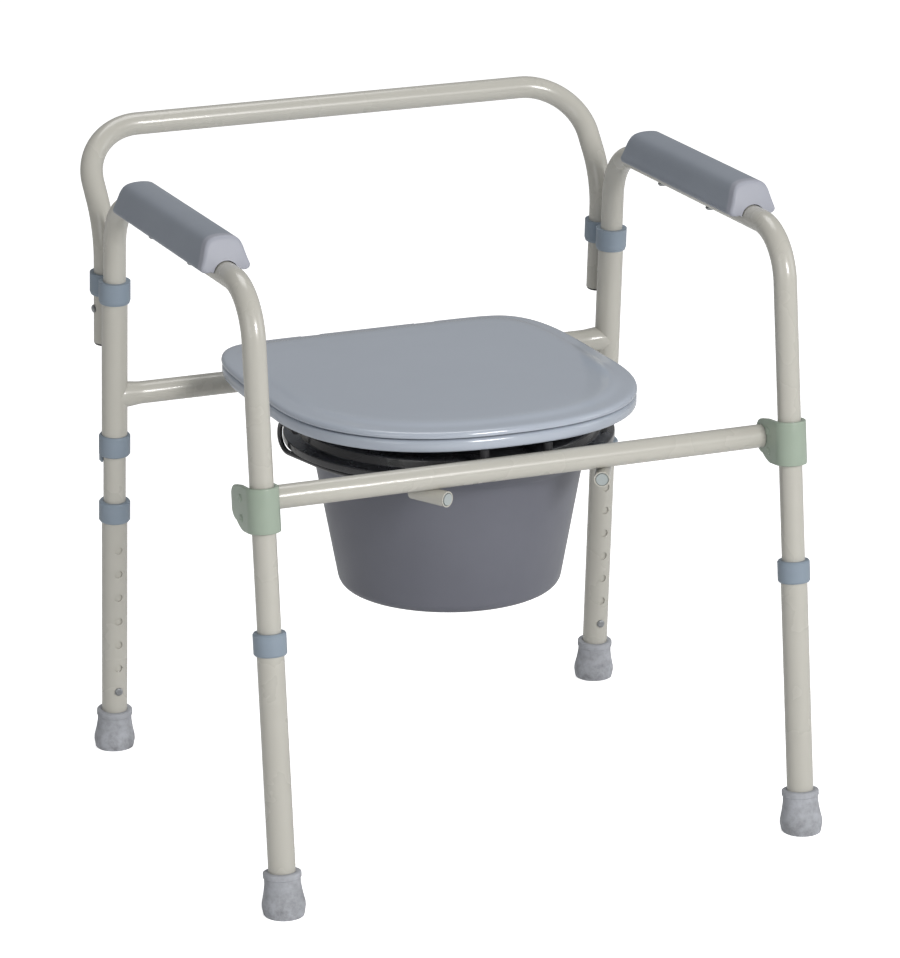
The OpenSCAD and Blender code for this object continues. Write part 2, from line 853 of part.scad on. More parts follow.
module seat_lid() {
    color(seat_grey)
        difference() {
            union() {
                difference() {
                    union() {
                        outline_slab(0, lid_z, lid_h - 7.4);
                        outline_slab(1, lid_z, lid_h - 5.6);
                        outline_slab(4, lid_z, lid_h - 4.2);
                        outline_slab(10, lid_z, lid_h - 3.2);
                        outline_slab(17, lid_z, lid_h - 2.2);
                        outline_slab(21, lid_z, lid_h - 0.7);
                        outline_slab(25, lid_z, lid_h);
                    }
                    difference() {
                        outline_slab(6, lid_z - 1, lid_hollow + 1);
                        lid_lands();
                    }
                    hinge_notches(lid_z - 1, lid_h + 2);
                }
                lid_knuckles();
            }
            hinge_bores();
        }
}

// Solid lands under the lid at its hinges
module lid_lands() {
    at_both_sides()
        translate([hinge_x - notch_w / 2 - 6, hinge_y - hinge_notch - 24, lid_z - 2])
            cube([notch_w + 12, 28, lid_h]);
}

// Flat pads that keep the lid off the seat
module lid_bumpers() {
    color(tip_grey)
        for (p = [[-120, -70], [120, -70], [-120, 120], [120, 120]])
            translate([p.x, lid_mid_y + p.y, seat_z + seat_h + gap])
                cylinder(r = 7, h = lid_z + lid_hollow - seat_z - seat_h - gap);
}

// ---- Pail ---------------------------------------------------------------------------------------------------

function corner_arc(cx, cz, r) =
    [for (i = [0:8]) let (t = -90 + 84 * i / 8) [cx + r * cos(t), cz + r * sin(t)]];

module pail() {
    flare_z = pail_lip_z - 20;
    under = pail_lip_z - lip_h;
    w = pail_wall;
    outer = concat(
        [[0, pail_floor_z]],
        corner_arc(pail_low_r - corner_r, pail_floor_z + corner_r, corner_r),
        [[pail_top_r, flare_z], [pail_lip_r - 12, under - 2], [pail_lip_r - 9, under]],
        [[pail_lip_r - 0.8, under], [pail_lip_r, under + 0.8]],
        [[pail_lip_r, pail_lip_z - 1.2], [pail_lip_r - 1.2, pail_lip_z]]
    );
    inner = [
        [pail_lip_r - 12, pail_lip_z], [pail_lip_r - 15, pail_lip_z - 1.5],
        [pail_top_r - w, flare_z + 1], [pail_low_r - w - 1, pail_floor_z + corner_r],
        [pail_low_r - w - 5, pail_floor_z + w + 4], [pail_low_r - w - 12, pail_floor_z + w],
        [0, pail_floor_z + w]
    ];
    color(pail_grey)
        translate([0, pail_y, 0])
            rotate_extrude()
                polygon(concat(outer, inner));
}

module pail_lid() {
    z = pail_lip_z + gap;
    top = pail_lip_z + pail_lid_h;
    lip_in = pail_lip_r + 0.4;
    rim = lip_in + 1.5;
    neck = pail_lip_r - 13;
    under = top - 6;
    profile = [
        [0, under], [neck - 23, under], [neck - 20, under - 4], [neck - 18, z + 2], [neck - 18, z - 7],
        [neck - 15, z - 7], [neck - 13, z], [lip_in, z], [lip_in, z - 3.6], [rim - 0.3, z - 3.6],
        [rim, z - 3.2], [rim, z + 2], [rim - 0.4, z + 2.9], [rim - 1.4, z + 3.4],
        [neck + 2.4, z + 4], [neck + 1, z + 5], [neck, top - 9], [neck - 2, top - 6.5],
        [neck - 11, top - 5], [neck - 15, top - 4], [neck - 18, top - 1], [neck - 21, top],
        [60, top], [56, top - 3], [0, top - 3]
    ];
    color(wire_black)
        translate([0, pail_y, 0]) {
            rotate_extrude()
                polygon(profile);
            // finger bar across the middle
            translate([-40, -7, top - 3])
                cube([80, 14, 9]);
        }
}

// ---- Leg extensions -----------------------------------------------------------------------------------------

module leg_tube(side, front) {
    color(frame_paint)
        on_leg(side, front)
            difference() {
                translate([0, 0, ext_foot_s])
                    pipe(ext_r, ext_in_r, ext_top - ext_foot_s);
                for (i = [0:hole_count - 1])
                    translate([0, 0, hole_low + i * hole_pitch])
                        rotate([-90, 0, 0])
                            cylinder(r = hole_d / 2, h = 2 * ext_r);
            }
}

module leg_collar(side, front) {
    color(collar_blue)
        on_leg(side, front)
            translate([0, 0, ext_top + 4])
                mirror([0, 0, 1])
                    collar(true);
}

module leg_tip(side, front) {
    r = tip_d / 2;
    rt = tip_top_d / 2;
    color(tip_grey)
        difference() {
            on_leg(side, front)
                rotate_extrude()
                    polygon([
                        [0, -4], [r - 0.5, -4], [r - 0.5, 4], [r, 8], [r - 0.4, 12], [rt + 1.2, 21],
                        [rt, 30], [rt, tip_h - 6], [rt + 0.6, tip_h - 5], [rt + 0.6, tip_h - 1],
                        [rt - 0.2, tip_h], [ext_r, tip_h], [ext_r, ext_foot_s], [0, ext_foot_s]
                    ]);
            translate([side * leg_half_span - 50, (front ? foot_front_y : foot_rear_y) - 50, -50])
                cube([100, 100, 50]);
        }
}

// Push button in its hole: head, shank and a flange inside the tube
module push_button(wall_out) {
    flange = bore_r - 1.7;
    rotate([-90, 0, 0]) {
        translate([0, 0, flange - 1.2])
            cylinder(r = 4.8, h = 1.2);
        translate([0, 0, flange - 0.2])
            cylinder(r = pin_head_r, h = wall_out - flange + 1.4);
        translate([0, 0, wall_out + 1.2])
            cylinder(r1 = pin_head_r, r2 = pin_head_r - 1.3, h = 1);
    }
}

// Leaf spring behind a button: lies on the far wall, folds at the foot and rises to the button
module leaf_spring() {
    t = 0.7;
    back = -bore_r + 0.9;
    tip = bore_r - 1.7 - 1.2 - 0.1;
    foot = -16;
    rotate([90, 0, 90])
        translate([0, 0, -3.5])
            linear_extrude(7)
                polygon([
                    [back, 14], [back, foot + 3], [back + 3, foot], [back + 6, foot], [tip, -5], [tip, 5],
                    [tip - t, 5], [tip - t, -4.7], [back + 5.7, foot + t], [back + 3.3, foot + t],
                    [back + t, foot + 3.3], [back + t, 14]
                ]);
}

module leg_button(side, front) {
    color(steel)
        on_leg(side, front)
            translate([0, 0, hole_low])
                push_button(ext_r);
}

module leg_spring(side, front) {
    color(steel)
        on_leg(side, front)
            translate([0, 0, hole_low])
                leaf_spring();
}

// ---- Back rest ----------------------------------------------------------------------------------------------

back_set = back_bend_r * tan(back_lean / 2);

// The leaning plane of the back rest above its bend: Z up along the tubes, X across
module on_back_lean() {
    translate([0, back_offset, back_bend_s])
        rotate([-back_lean, 0, 0])
            children();
}

module back_run(r, cut) {
    on_rear_plane() {
        at_both_sides() {
            translate([leg_half_span, back_offset, back_low - cut])
                cylinder(r = r, h = back_bend_s - back_set - back_low + cut);
            translate([leg_half_span, back_offset, back_bend_s - back_set])
                bend(back_lean, back_bend_r, r);
            on_back_lean() {
                translate([leg_half_span, 0, back_set])
                    cylinder(r = r, h = back_reach - back_corner_r - back_set);
                translate([leg_half_span, 0, back_reach - back_corner_r])
                    rotate([0, 0, 90])
                        bend(90, back_corner_r, r);
            }
        }
        on_back_lean()
            translate([-leg_half_span + back_corner_r, 0, back_reach])
                rotate([0, 90, 0])
                    cylinder(r = r, h = 2 * (leg_half_span - back_corner_r));
    }
}

// A back rest tube's own frame at its button: Z along the tube, Y outwards
module on_back_button(side) {
    on_rear_plane()
        translate([side * leg_half_span, back_offset, back_button_s])
            rotate([0, 0, -side * 90])
                children();
}

module back_rest() {
    color(frame_paint)
        difference() {
            back_run(tube_r, 0);
            back_run(bore_r, 1);
            for (side = [-1, 1])
                on_back_button(side)
                    rotate([-90, 0, 0])
                        cylinder(r = hole_d / 2, h = tube_d);
        }
}

module back_plugs() {
    color(wire_black)
        on_rear_plane()
            at_both_sides()
                translate([leg_half_span, back_offset, back_low]) {
                    cylinder(r = bore_r, h = 9);
                    translate([0, 0, -2])
                        cylinder(r1 = tube_r - 1, r2 = tube_r, h = 2);
                }
}

module back_button(side) {
    color(steel)
        on_back_button(side)
            push_button(tube_r);
}

module back_spring(side) {
    color(steel)
        on_back_button(side)
            leaf_spring();
}

// ---- Nodes --------------------------------------------------------------------------------------------------

rear_bar();
rear_sleeve(-1);  // rear_sleeve_left
rear_sleeve(1);  // rear_sleeve_right
back_clamp(-1);  // back_clamp_left
back_clamp(1);  // back_clamp_right
sleeve_collar(-1);  // sleeve_collar_left
sleeve_collar(1);  // sleeve_collar_right
front_bar();
carrier_sockets();
socket_plugs();
pail_carrier();
carrier_sleeves();
hinge_brackets();
hinge_pins();
side_frame(-1);  // side_frame_left
arm_pad(-1);  // arm_pad_left
arm_screws(-1);  // arm_screws_left
bar_bracket(-1);  // bar_bracket_left
bracket_rivets(-1);  // bracket_rivets_left
side_frame(1);  // side_frame_right
arm_pad(1);  // arm_pad_right
arm_screws(1);  // arm_screws_right
bar_bracket(1);  // bar_bracket_right
bracket_rivets(1);  // bracket_rivets_right
leg_tube(-1, true);  // leg_tube_front_left
leg_collar(-1, true);  // leg_collar_front_left
leg_tip(-1, true);  // leg_tip_front_left
leg_tube(1, true);  // leg_tube_front_right
leg_collar(1, true);  // leg_collar_front_right
leg_tip(1, true);  // leg_tip_front_right
leg_tube(-1, false);  // leg_tube_rear_left
leg_collar(-1, false);  // leg_collar_rear_left
leg_tip(-1, false);  // leg_tip_rear_left
leg_tube(1, false);  // leg_tube_rear_right
leg_collar(1, false);  // leg_collar_rear_right
leg_tip(1, false);  // leg_tip_rear_right
leg_button(-1, true);  // leg_button_front_left
leg_button(1, true);  // leg_button_front_right
leg_button(-1, false);  // leg_button_rear_left
leg_button(1, false);  // leg_button_rear_right
leg_spring(-1, true);  // leg_spring_front_left
leg_spring(1, true);  // leg_spring_front_right
leg_spring(-1, false);  // leg_spring_rear_left
leg_spring(1, false);  // leg_spring_rear_right
back_rest();
back_plugs();
back_button(-1);  // back_button_left
back_button(1);  // back_button_right
back_spring(-1);  // back_spring_left
back_spring(1);  // back_spring_right
seat_ring();
seat_bumpers();
seat_lid();
lid_bumpers();
pail();
pail_lid();
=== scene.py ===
"""Dressed model of a folding commode chair: smooth surfaces, finishes, floor, light and camera.

Every length is in millimetres until a surface becomes a mesh. +X is the viewer's right from the front,
the front is towards -Y, +Z is up and the floor is at zero.
"""

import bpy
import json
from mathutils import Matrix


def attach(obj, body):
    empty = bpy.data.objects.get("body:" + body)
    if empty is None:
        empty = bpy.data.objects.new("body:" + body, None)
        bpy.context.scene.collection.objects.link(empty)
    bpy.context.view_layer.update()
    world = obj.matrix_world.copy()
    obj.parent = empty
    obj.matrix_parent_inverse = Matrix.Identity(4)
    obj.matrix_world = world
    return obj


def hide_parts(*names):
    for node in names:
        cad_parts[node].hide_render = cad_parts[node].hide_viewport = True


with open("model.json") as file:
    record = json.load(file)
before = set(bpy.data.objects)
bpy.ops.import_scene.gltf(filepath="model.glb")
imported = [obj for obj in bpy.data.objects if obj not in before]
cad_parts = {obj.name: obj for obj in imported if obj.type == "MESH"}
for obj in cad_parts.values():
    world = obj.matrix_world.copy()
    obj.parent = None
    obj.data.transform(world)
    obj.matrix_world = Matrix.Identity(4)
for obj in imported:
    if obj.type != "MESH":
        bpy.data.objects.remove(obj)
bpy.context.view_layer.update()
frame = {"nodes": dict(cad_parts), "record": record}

import json
import logging
import math
from dataclasses import dataclass, field
from enum import Enum
from typing import Iterable, Sequence

import bmesh
import bpy
import numpy as np
from mathutils import Quaternion, Vector

logging.basicConfig(level=logging.INFO, format="%(levelname)s %(message)s")
log = logging.getLogger("commode_chair")

MM = 0.001
FINE_POLE = 0.05  # radius of the ring that a small turned piece ends in at its axis
POLE = 0.3  # the same for a large one
SAME_POINT = 1e-6  # metres within which two vertices are one
NO_LENGTH = 1e-7  # metres under which an edge has no length
Array = np.ndarray
Mesh = bpy.types.Mesh
Socket = bpy.types.NodeSocket
Points = Sequence[Sequence[float]]
Colour = tuple[float, float, float]
Span = tuple[float, float]


class Side(Enum):
    """The two sides of the chair, with the sign of X on each."""

    LEFT = -1
    RIGHT = 1

    @property
    def word(self) -> str:
        """Returns the side's name as the frame's nodes spell it."""
        return self.name.lower()


class Row(Enum):
    """The front and the rear legs."""

    FRONT = "front"
    REAR = "rear"


class Slot(Enum):
    """Material slots of the record."""

    FRAME_TUBE = "frame_tube"
    COLLAR = "collar"
    ARM_PAD = "arm_pad"
    BRACKET = "bracket"
    SEAT_SHELL = "seat_shell"
    PAIL_SHELL = "pail_shell"
    PAIL_COVER = "pail_cover"
    WIRE = "wire"
    TIP_RUBBER = "tip_rubber"
    PLUG = "plug"
    STEEL = "steel"
    DARK_PLUG = "dark_plug"


# ---- Surfaces ------------------------------------------------------------------------------------


def rotation_x(degrees: float) -> Array:
    """Returns the 3 x 3 turn about X by an angle in degrees."""
    c, s = math.cos(math.radians(degrees)), math.sin(math.radians(degrees))
    return np.array([[1, 0, 0], [0, c, -s], [0, s, c]], float)


def rotation_z(degrees: float) -> Array:
    """Returns the 3 x 3 turn about Z by an angle in degrees."""
    c, s = math.cos(math.radians(degrees)), math.sin(math.radians(degrees))
    return np.array([[c, -s, 0], [s, c, 0], [0, 0, 1]], float)


@dataclass(frozen=True)
class Place:
    """A rigid place: a turn and then a move."""

    turn: Array
    move: Array

    def of(self, points: Array) -> Array:
        """Returns points of any leading shape carried to this place."""
        return points @ self.turn.T + self.move


def unit(vectors: Array) -> Array:
    """Returns each vector of an (..., 3) array at length one."""
    return vectors / np.maximum(np.linalg.norm(vectors, axis=-1, keepdims=True), 1e-12)


def rounded_path(corners: Points, radii: Sequence[float], steps: int = 14) -> Array:
    """Runs a path through corners, each rounded by an arc tangent to both of its legs.

    A corner of turn angle a and radius r starts its arc r tan(a / 2) before the corner; a point of the arc is
    the centre plus r (cos(t) e1 + sin(t) e2), with e1 towards the arc's start and e2 along the first leg.

    Args:
        corners: The path's ends and corners, K x 3.
        radii: One radius for each inner corner, K - 2 of them.
        steps: Spans in each arc.

    Returns:
        The points of the path, N x 3.
    """
    pts = np.asarray(corners, float)
    parts = [pts[:1]]
    for before, corner, after, radius in zip(pts[:-2], pts[1:-1], pts[2:], radii):
        d1, d2 = unit(corner - before), unit(after - corner)
        turn = math.acos(float(np.clip(d1 @ d2, -1, 1)))
        start = corner - d1 * radius * math.tan(turn / 2)
        inward = unit(d2 - (d2 @ d1) * d1)
        centre = start + inward * radius
        t = np.linspace(0, turn, steps + 1)[:, None]
        parts.append(centre - inward * radius * np.cos(t) + d1 * radius * np.sin(t))
    parts.append(pts[-1:])
    return np.concatenate(parts)


def tube_rings(path: Array, radius: float | Array, across: Sequence[float], sides: int = 32) -> Array:
    """Carries a circle along a path.

    At each point the tangent T is the central difference of the path, U is the given direction made square to
    T, and W is T x U; the ring is the point plus r (cos(a) U + sin(a) W).

    Args:
        path: Points, N x 3.
        radius: One radius, or one for each point.
        across: A direction never parallel to the path.
        sides: Points around each ring.

    Returns:
        The rings, N x sides x 3.
    """
    tangent = unit(np.gradient(path, axis=0))
    ref = np.asarray(across, float)
    u = unit(ref - (tangent @ ref)[:, None] * tangent)
    w = np.cross(tangent, u)
    a = np.linspace(0, 2 * math.pi, sides, endpoint=False)
    r = np.broadcast_to(np.asarray(radius, float), (len(path),))[:, None, None]
    ring = np.cos(a)[None, :, None] * u[:, None] + np.sin(a)[None, :, None] * w[:, None]
    return path[:, None] + r * ring


def pipe_rings(path: Array, outer: float, inner: float, across: Sequence[float], sides: int = 40) -> Array:
    """Returns the closed skin of a pipe: outer rings along the path, then inner rings back again."""
    return np.concatenate(
        [tube_rings(path, outer, across, sides), tube_rings(path, inner, across, sides)[::-1]]
    )


def lathe_rings(profile: Points, sides: int = 96) -> Array:
    """Turns a profile of (radius, height) points about Z: (r cos(a), r sin(a), z) for each a."""
    rz = np.asarray(profile, float)
    a = np.linspace(0, 2 * math.pi, sides, endpoint=False)
    x = rz[:, :1] * np.cos(a)
    y = rz[:, :1] * np.sin(a)
    return np.stack([x, y, np.broadcast_to(rz[:, 1:], x.shape)], axis=-1)


def soft_profile(points: Points, radii: Sequence[float], steps: int = 5) -> Array:
    """Returns a lathe profile whose inner corners are rounded by arcs, as (radius, height) points."""
    flat = np.asarray(points, float)
    lifted = np.column_stack([flat[:, 0], np.zeros(len(flat)), flat[:, 1]])
    return rounded_path(lifted, radii, steps)[:, [0, 2]]


def superellipse(t: Array, a: float, b: float, n: float) -> tuple[Array, Array]:
    """Returns the oval |x / a|^n + |y / b|^n = 1 at bearings t.

    Its radius there is (|cos t / a|^n + |sin t / b|^n)^(-1/n).
    """
    c, s = np.cos(t), np.sin(t)
    r = (np.abs(c / a) ** n + np.abs(s / b) ** n) ** (-1 / n)
    return r * c, r * s


def shell_mesh(
    name: str,
    rings: Array,
    join_ends: bool = False,
    join_sides: bool = True,
    cap_ends: bool = True,
    sharp_deg: float = 40.0,
) -> Mesh:
    """Makes a closed mesh from a grid of points in millimetres.

    The grid's rows are rings. Quads join each row to the next; a row that isn't joined on is closed by a fan
    about its mean.

    Args:
        name: The mesh's name.
        rings: Points, rows x columns x 3.
        join_ends: Joins the last row to the first.
        join_sides: Joins the last column to the first.
        cap_ends: Closes the first and the last row with fans, where they aren't joined.
        sharp_deg: Edges that turn more than this are drawn sharp.

    Returns:
        The mesh, in metres, with its faces outwards.
    """
    rows, cols = rings.shape[:2]
    index = np.arange(rows * cols).reshape(rows, cols)
    if join_ends:
        index = np.vstack([index, index[:1]])
    if join_sides:
        index = np.hstack([index, index[:, :1]])
    quads = np.stack([index[:-1, :-1], index[:-1, 1:], index[1:, 1:], index[1:, :-1]], axis=-1)
    points = rings.reshape(-1, 3)
    faces = quads.reshape(-1, 4).tolist()
    if cap_ends and not join_ends:
        middle = np.stack([rings[0].mean(axis=0), rings[-1].mean(axis=0)])
        first, last = index[0], index[-1]
        n = len(points)
        faces += np.column_stack([first[1:], first[:-1], np.full(len(first) - 1, n)]).tolist()
        faces += np.column_stack([last[:-1], last[1:], np.full(len(last) - 1, n + 1)]).tolist()
        points = np.vstack([points, middle])
    mesh = bpy.data.meshes.new(name)
    mesh.from_pydata((points * MM).tolist(), [], faces)
    tidy_mesh(mesh, sharp_deg)
    return mesh


def tidy_mesh(mesh: Mesh, sharp_deg: float) -> None:
    """Merges doubled points, turns faces outwards and shades smooth between sharp edges."""
    bm = bmesh.new()
    bm.from_mesh(mesh)
    bmesh.ops.remove_doubles(bm, verts=bm.verts, dist=SAME_POINT)
    bmesh.ops.dissolve_degenerate(bm, edges=bm.edges, dist=NO_LENGTH)
    bmesh.ops.recalc_face_normals(bm, faces=bm.faces)
    bm.to_mesh(mesh)
    bm.free()
    mesh.polygons.foreach_set("use_smooth", np.ones(len(mesh.polygons), bool))
    mesh.set_sharp_from_angle(angle=math.radians(sharp_deg))
    mesh.update()


def joined_mesh(name: str, parts: Iterable[Mesh]) -> Mesh:
    """Returns one mesh that holds several closed meshes, which are removed."""
    bm = bmesh.new()
    for part in parts:
        bm.from_mesh(part)
        bpy.data.meshes.remove(part)
    mesh = bpy.data.meshes.new(name)
    bm.to_mesh(mesh)
    bm.free()
    mesh.polygons.foreach_set("use_smooth", np.ones(len(mesh.polygons), bool))
    return mesh


# ---- Finishes ------------------------------------------------------------------------------------


def linear(colour: Sequence[float]) -> tuple[float, float, float, float]:
    """Turns an sRGB colour from 0 to 1 into the linear colour a shader takes."""
    c = np.asarray(colour, float)
    out = np.where(c <= 0.04045, c / 12.92, ((c + 0.055) / 1.055) ** 2.4)
    return (float(out[0]), float(out[1]), float(out[2]), 1.0)


@dataclass(frozen=True)
class Noise:
    """A noise field: repeats a metre, octaves, weight of each next octave, and a stretch of each axis."""

    scale: float
    octaves: float
    weight: float
    stretch: tuple[float, float, float] | None = None


@dataclass(frozen=True)
class Relief:
    """Fine unevenness of a surface: its noise field, its depth in millimetres and its strength."""

    noise: Noise
    depth_mm: float
    strength: float


@dataclass(frozen=True)
class Sheen:
    """How a surface mirrors: specular level, weight and roughness of a clear coat, and metal."""

    specular: float = 0.5
    coat: float = 0.0
    coat_rough: float = 0.03
    metal: float = 0.0


class Nodes:
    """A material's node tree with short calls for the few nodes the finishes use."""

    def __init__(self, name: str) -> None:
        """Makes the material, its shader and its Object coordinates."""
        self.material = bpy.data.materials.new(name)
        self.material.use_nodes = True
        self.tree = self.material.node_tree
        self.shader = self.tree.nodes["Principled BSDF"]
        self.coordinates = self.tree.nodes.new("ShaderNodeTexCoord").outputs["Object"]

    def link(self, out: Socket, into: str) -> None:
        """Joins a socket to one of the shader's."""
        self.tree.links.new(out, self.shader.inputs[into])

    def set(self, **values: float | Sequence[float]) -> None:
        """Sets shader sockets, with underscores for the spaces in their names."""
        for key, value in values.items():
            self.shader.inputs[key.replace("_", " ")].default_value = value

    def node(
        self, kind: str, inputs: dict[str | int, float | Sequence[float] | Socket], **options: str
    ) -> bpy.types.Node:
        """Adds a node.

        Args:
            kind: The node's type, without the prefix that all of them share.
            inputs: What goes into its sockets; a socket is linked and a value is set.
            options: The node's settings, such as its operation.

        Returns:
            The node.
        """
        node = self.tree.nodes.new(f"ShaderNode{kind}")
        for key, option in options.items():
            setattr(node, key, option)
        for key, value in inputs.items():
            if isinstance(value, Socket):
                self.tree.links.new(value, node.inputs[key])
            else:
                node.inputs[key].default_value = value
        return node

    def noise(self, noise: Noise) -> Socket:
        """Returns the value of a noise field."""
        at = self.coordinates
        if noise.stretch:
            at = self.node("Mapping", {"Vector": at, "Scale": noise.stretch}).outputs["Vector"]
        inputs = {"Vector": at, "Scale": noise.scale, "Detail": noise.octaves, "Roughness": noise.weight}
        return self.node("TexNoise", inputs).outputs["Fac"]

    def ramp(self, value: Socket, span: Span, to: Span = (0.0, 1.0)) -> Socket:
        """Returns a value carried from one span to another, held at the ends."""
        inputs = {"Value": value, "From Min": span[0], "From Max": span[1], "To Min": to[0], "To Max": to[1]}
        return self.node("MapRange", inputs).outputs["Result"]

    def height(self) -> Socket:
        """Returns the height of the point, in metres."""
        return self.node("SeparateXYZ", {"Vector": self.coordinates}).outputs["Z"]

    def product(self, a: Socket, b: Socket | float) -> Socket:
        """Returns a times b."""
        return self.node("Math", {0: a, 1: b}, operation="MULTIPLY").outputs["Value"]

    def blend(self, share: Socket, a: Colour | Socket, b: Colour) -> Socket:
        """Returns the colour that goes from a to b as share goes from 0 to 1."""
        start = a if isinstance(a, Socket) else linear(a)
        inputs = {"Factor": share, "A": start, "B": linear(b)}
        return self.node("Mix", inputs, data_type="RGBA").outputs["Result"]

    def bump(self, relief: Relief) -> None:
        """Presses a relief into the shader's normal."""
        height = self.noise(relief.noise)
        inputs = {"Height": height, "Distance": relief.depth_mm * MM, "Strength": relief.strength}
        self.link(self.node("Bump", inputs).outputs["Normal"], "Normal")


@dataclass(frozen=True)
class Finish:
    """A finish: two tones and a roughness that drift slowly with a noise field, a relief and a sheen."""

    name: str
    colour: Colour
    shade: Colour
    rough: Span
    drift_scale: float = 9.0
    drift_octaves: float = 4.0
    drift_weight: float = 0.55
    tone_span: Span = (0.35, 0.7)
    rough_span: Span = (0.3, 0.7)
    relief: Relief = field(kw_only=True)
    sheen: Sheen = Sheen()

    def tone(self, n: Nodes, drift: Socket) -> Socket:
        """Returns the colour: the two tones blended by the drift."""
        return n.blend(n.ramp(drift, self.tone_span), self.colour, self.shade)

    def build(self) -> bpy.types.Material:
        """Returns the material."""
        n = Nodes(self.name)
        drift = n.noise(Noise(self.drift_scale, self.drift_octaves, self.drift_weight))
        n.link(self.tone(n, drift), "Base Color")
        n.link(n.ramp(drift, self.rough_span, self.rough), "Roughness")
        n.bump(self.relief)
        sheen = self.sheen
        n.set(Specular_IOR_Level=sheen.specular, Metallic=sheen.metal)
        n.set(Coat_Weight=sheen.coat, Coat_Roughness=sheen.coat_rough)
        return n.material


@dataclass(frozen=True)
class PowderCoat(Finish):
    """Baked powder paint: orange peel under a thin gloss."""

    relief: Relief = Relief(Noise(420.0, 2.0, 0.45), 0.012, 0.5)
    sheen: Sheen = Sheen(coat=0.35, coat_rough=0.08)


@dataclass(frozen=True)
class GrainedPlastic(Finish):
    """Moulded plastic with a fine spark-eroded grain."""

    relief: Relief = Relief(Noise(1400.0, 2.0, 0.6), 0.03, 0.6)
    sheen: Sheen = Sheen(specular=0.4)


@dataclass(frozen=True)
class PadPlastic(GrainedPlastic):
    """Arm pad moulding, coarser in grain, with painted light: its bevelled front face is painted in a paler
    tone, as where the lamps catch it.
    """

    relief: Relief = Relief(Noise(900.0, 2.0, 0.6), 0.03, 0.6)
    # painted light: the paler tone that stands for light falling on the bevelled front face
    pale: Colour = (0.63, 0.64, 0.68)
    face_y: float = -0.1345
    face_z: float = 0.58
    face_lean: float = 0.30
    face_fade: float = 0.0015

    def tone(self, n: Nodes, drift: Socket) -> Socket:
        """Returns the two tones, and the paler tone of painted light in front of the face's edge.

        The edge leans as the face does: it lies where y - lean (z - face_z) is face_y, in metres.
        """
        lean = self.face_lean
        leaning = n.node("VectorMath", {0: n.coordinates, 1: (0.0, 1.0, -lean)}, operation="DOT_PRODUCT")
        at = n.node("Math", {0: leaning.outputs["Value"], 1: lean * self.face_z}, operation="ADD")
        span = (self.face_y - self.face_fade, self.face_y + self.face_fade)
        # painted light mask: 1 on the front face, where the paler lit tone is painted
        face = n.ramp(at.outputs["Value"], span, (1.0, 0.0))
        return n.blend(face, super().tone(n, drift), self.pale)


@dataclass(frozen=True)
class GlossPlastic(Finish):
    """Polished moulded plastic, with the faint waves of a large flat moulding."""

    relief: Relief = Relief(Noise(14.0, 1.0, 0.4), 0.06, 0.25)
    sheen: Sheen = Sheen(coat=0.15, coat_rough=0.05)


@dataclass(frozen=True)
class PailPlastic(Finish):
    """Polypropylene: satin, with faint upright flow lines."""

    relief: Relief = Relief(Noise(60.0, 3.0, 0.55, (1.0, 1.0, 0.06)), 0.25, 0.35)


@dataclass(frozen=True)
class TipRubber(Finish):
    """Grey rubber, chalky, dirtier near the floor."""

    drift_scale: float = 38.0
    drift_octaves: float = 5.0
    drift_weight: float = 0.62
    tone_span: Span = (0.35, 0.68)
    relief: Relief = Relief(Noise(620.0, 4.0, 0.6), 0.12, 0.6)
    sheen: Sheen = Sheen(specular=0.3)
    dirt: Colour = (0.46, 0.46, 0.47)
    dirt_height: Span = (0.0, 0.045)
    dirt_share: Span = (0.95, 0.25)
    blotches: Noise = Noise(85.0, 6.0, 0.7)
    blotch_span: Span = (0.42, 0.72)

    def tone(self, n: Nodes, drift: Socket) -> Socket:
        """Returns the two tones, with blotches of dirt that fade with height above the floor."""
        low = n.ramp(n.height(), self.dirt_height, self.dirt_share)
        blotch = n.ramp(n.noise(self.blotches), self.blotch_span)
        return n.blend(n.product(low, blotch), super().tone(n, drift), self.dirt)


@dataclass(frozen=True)
class BlackGloss(Finish):
    """Black gloss plastic or dipped wire, with a thin film of dust."""

    relief: Relief = Relief(Noise(240.0, 3.0, 0.5), 0.03, 0.4)
    sheen: Sheen = Sheen(0.6, coat=0.4, coat_rough=0.06)


@dataclass(frozen=True)
class ZincPlate(Finish):
    """Zinc-plated steel with drawn grain."""

    relief: Relief = Relief(Noise(900.0, 3.0, 0.6), 0.02, 0.5)
    sheen: Sheen = Sheen(metal=1.0)


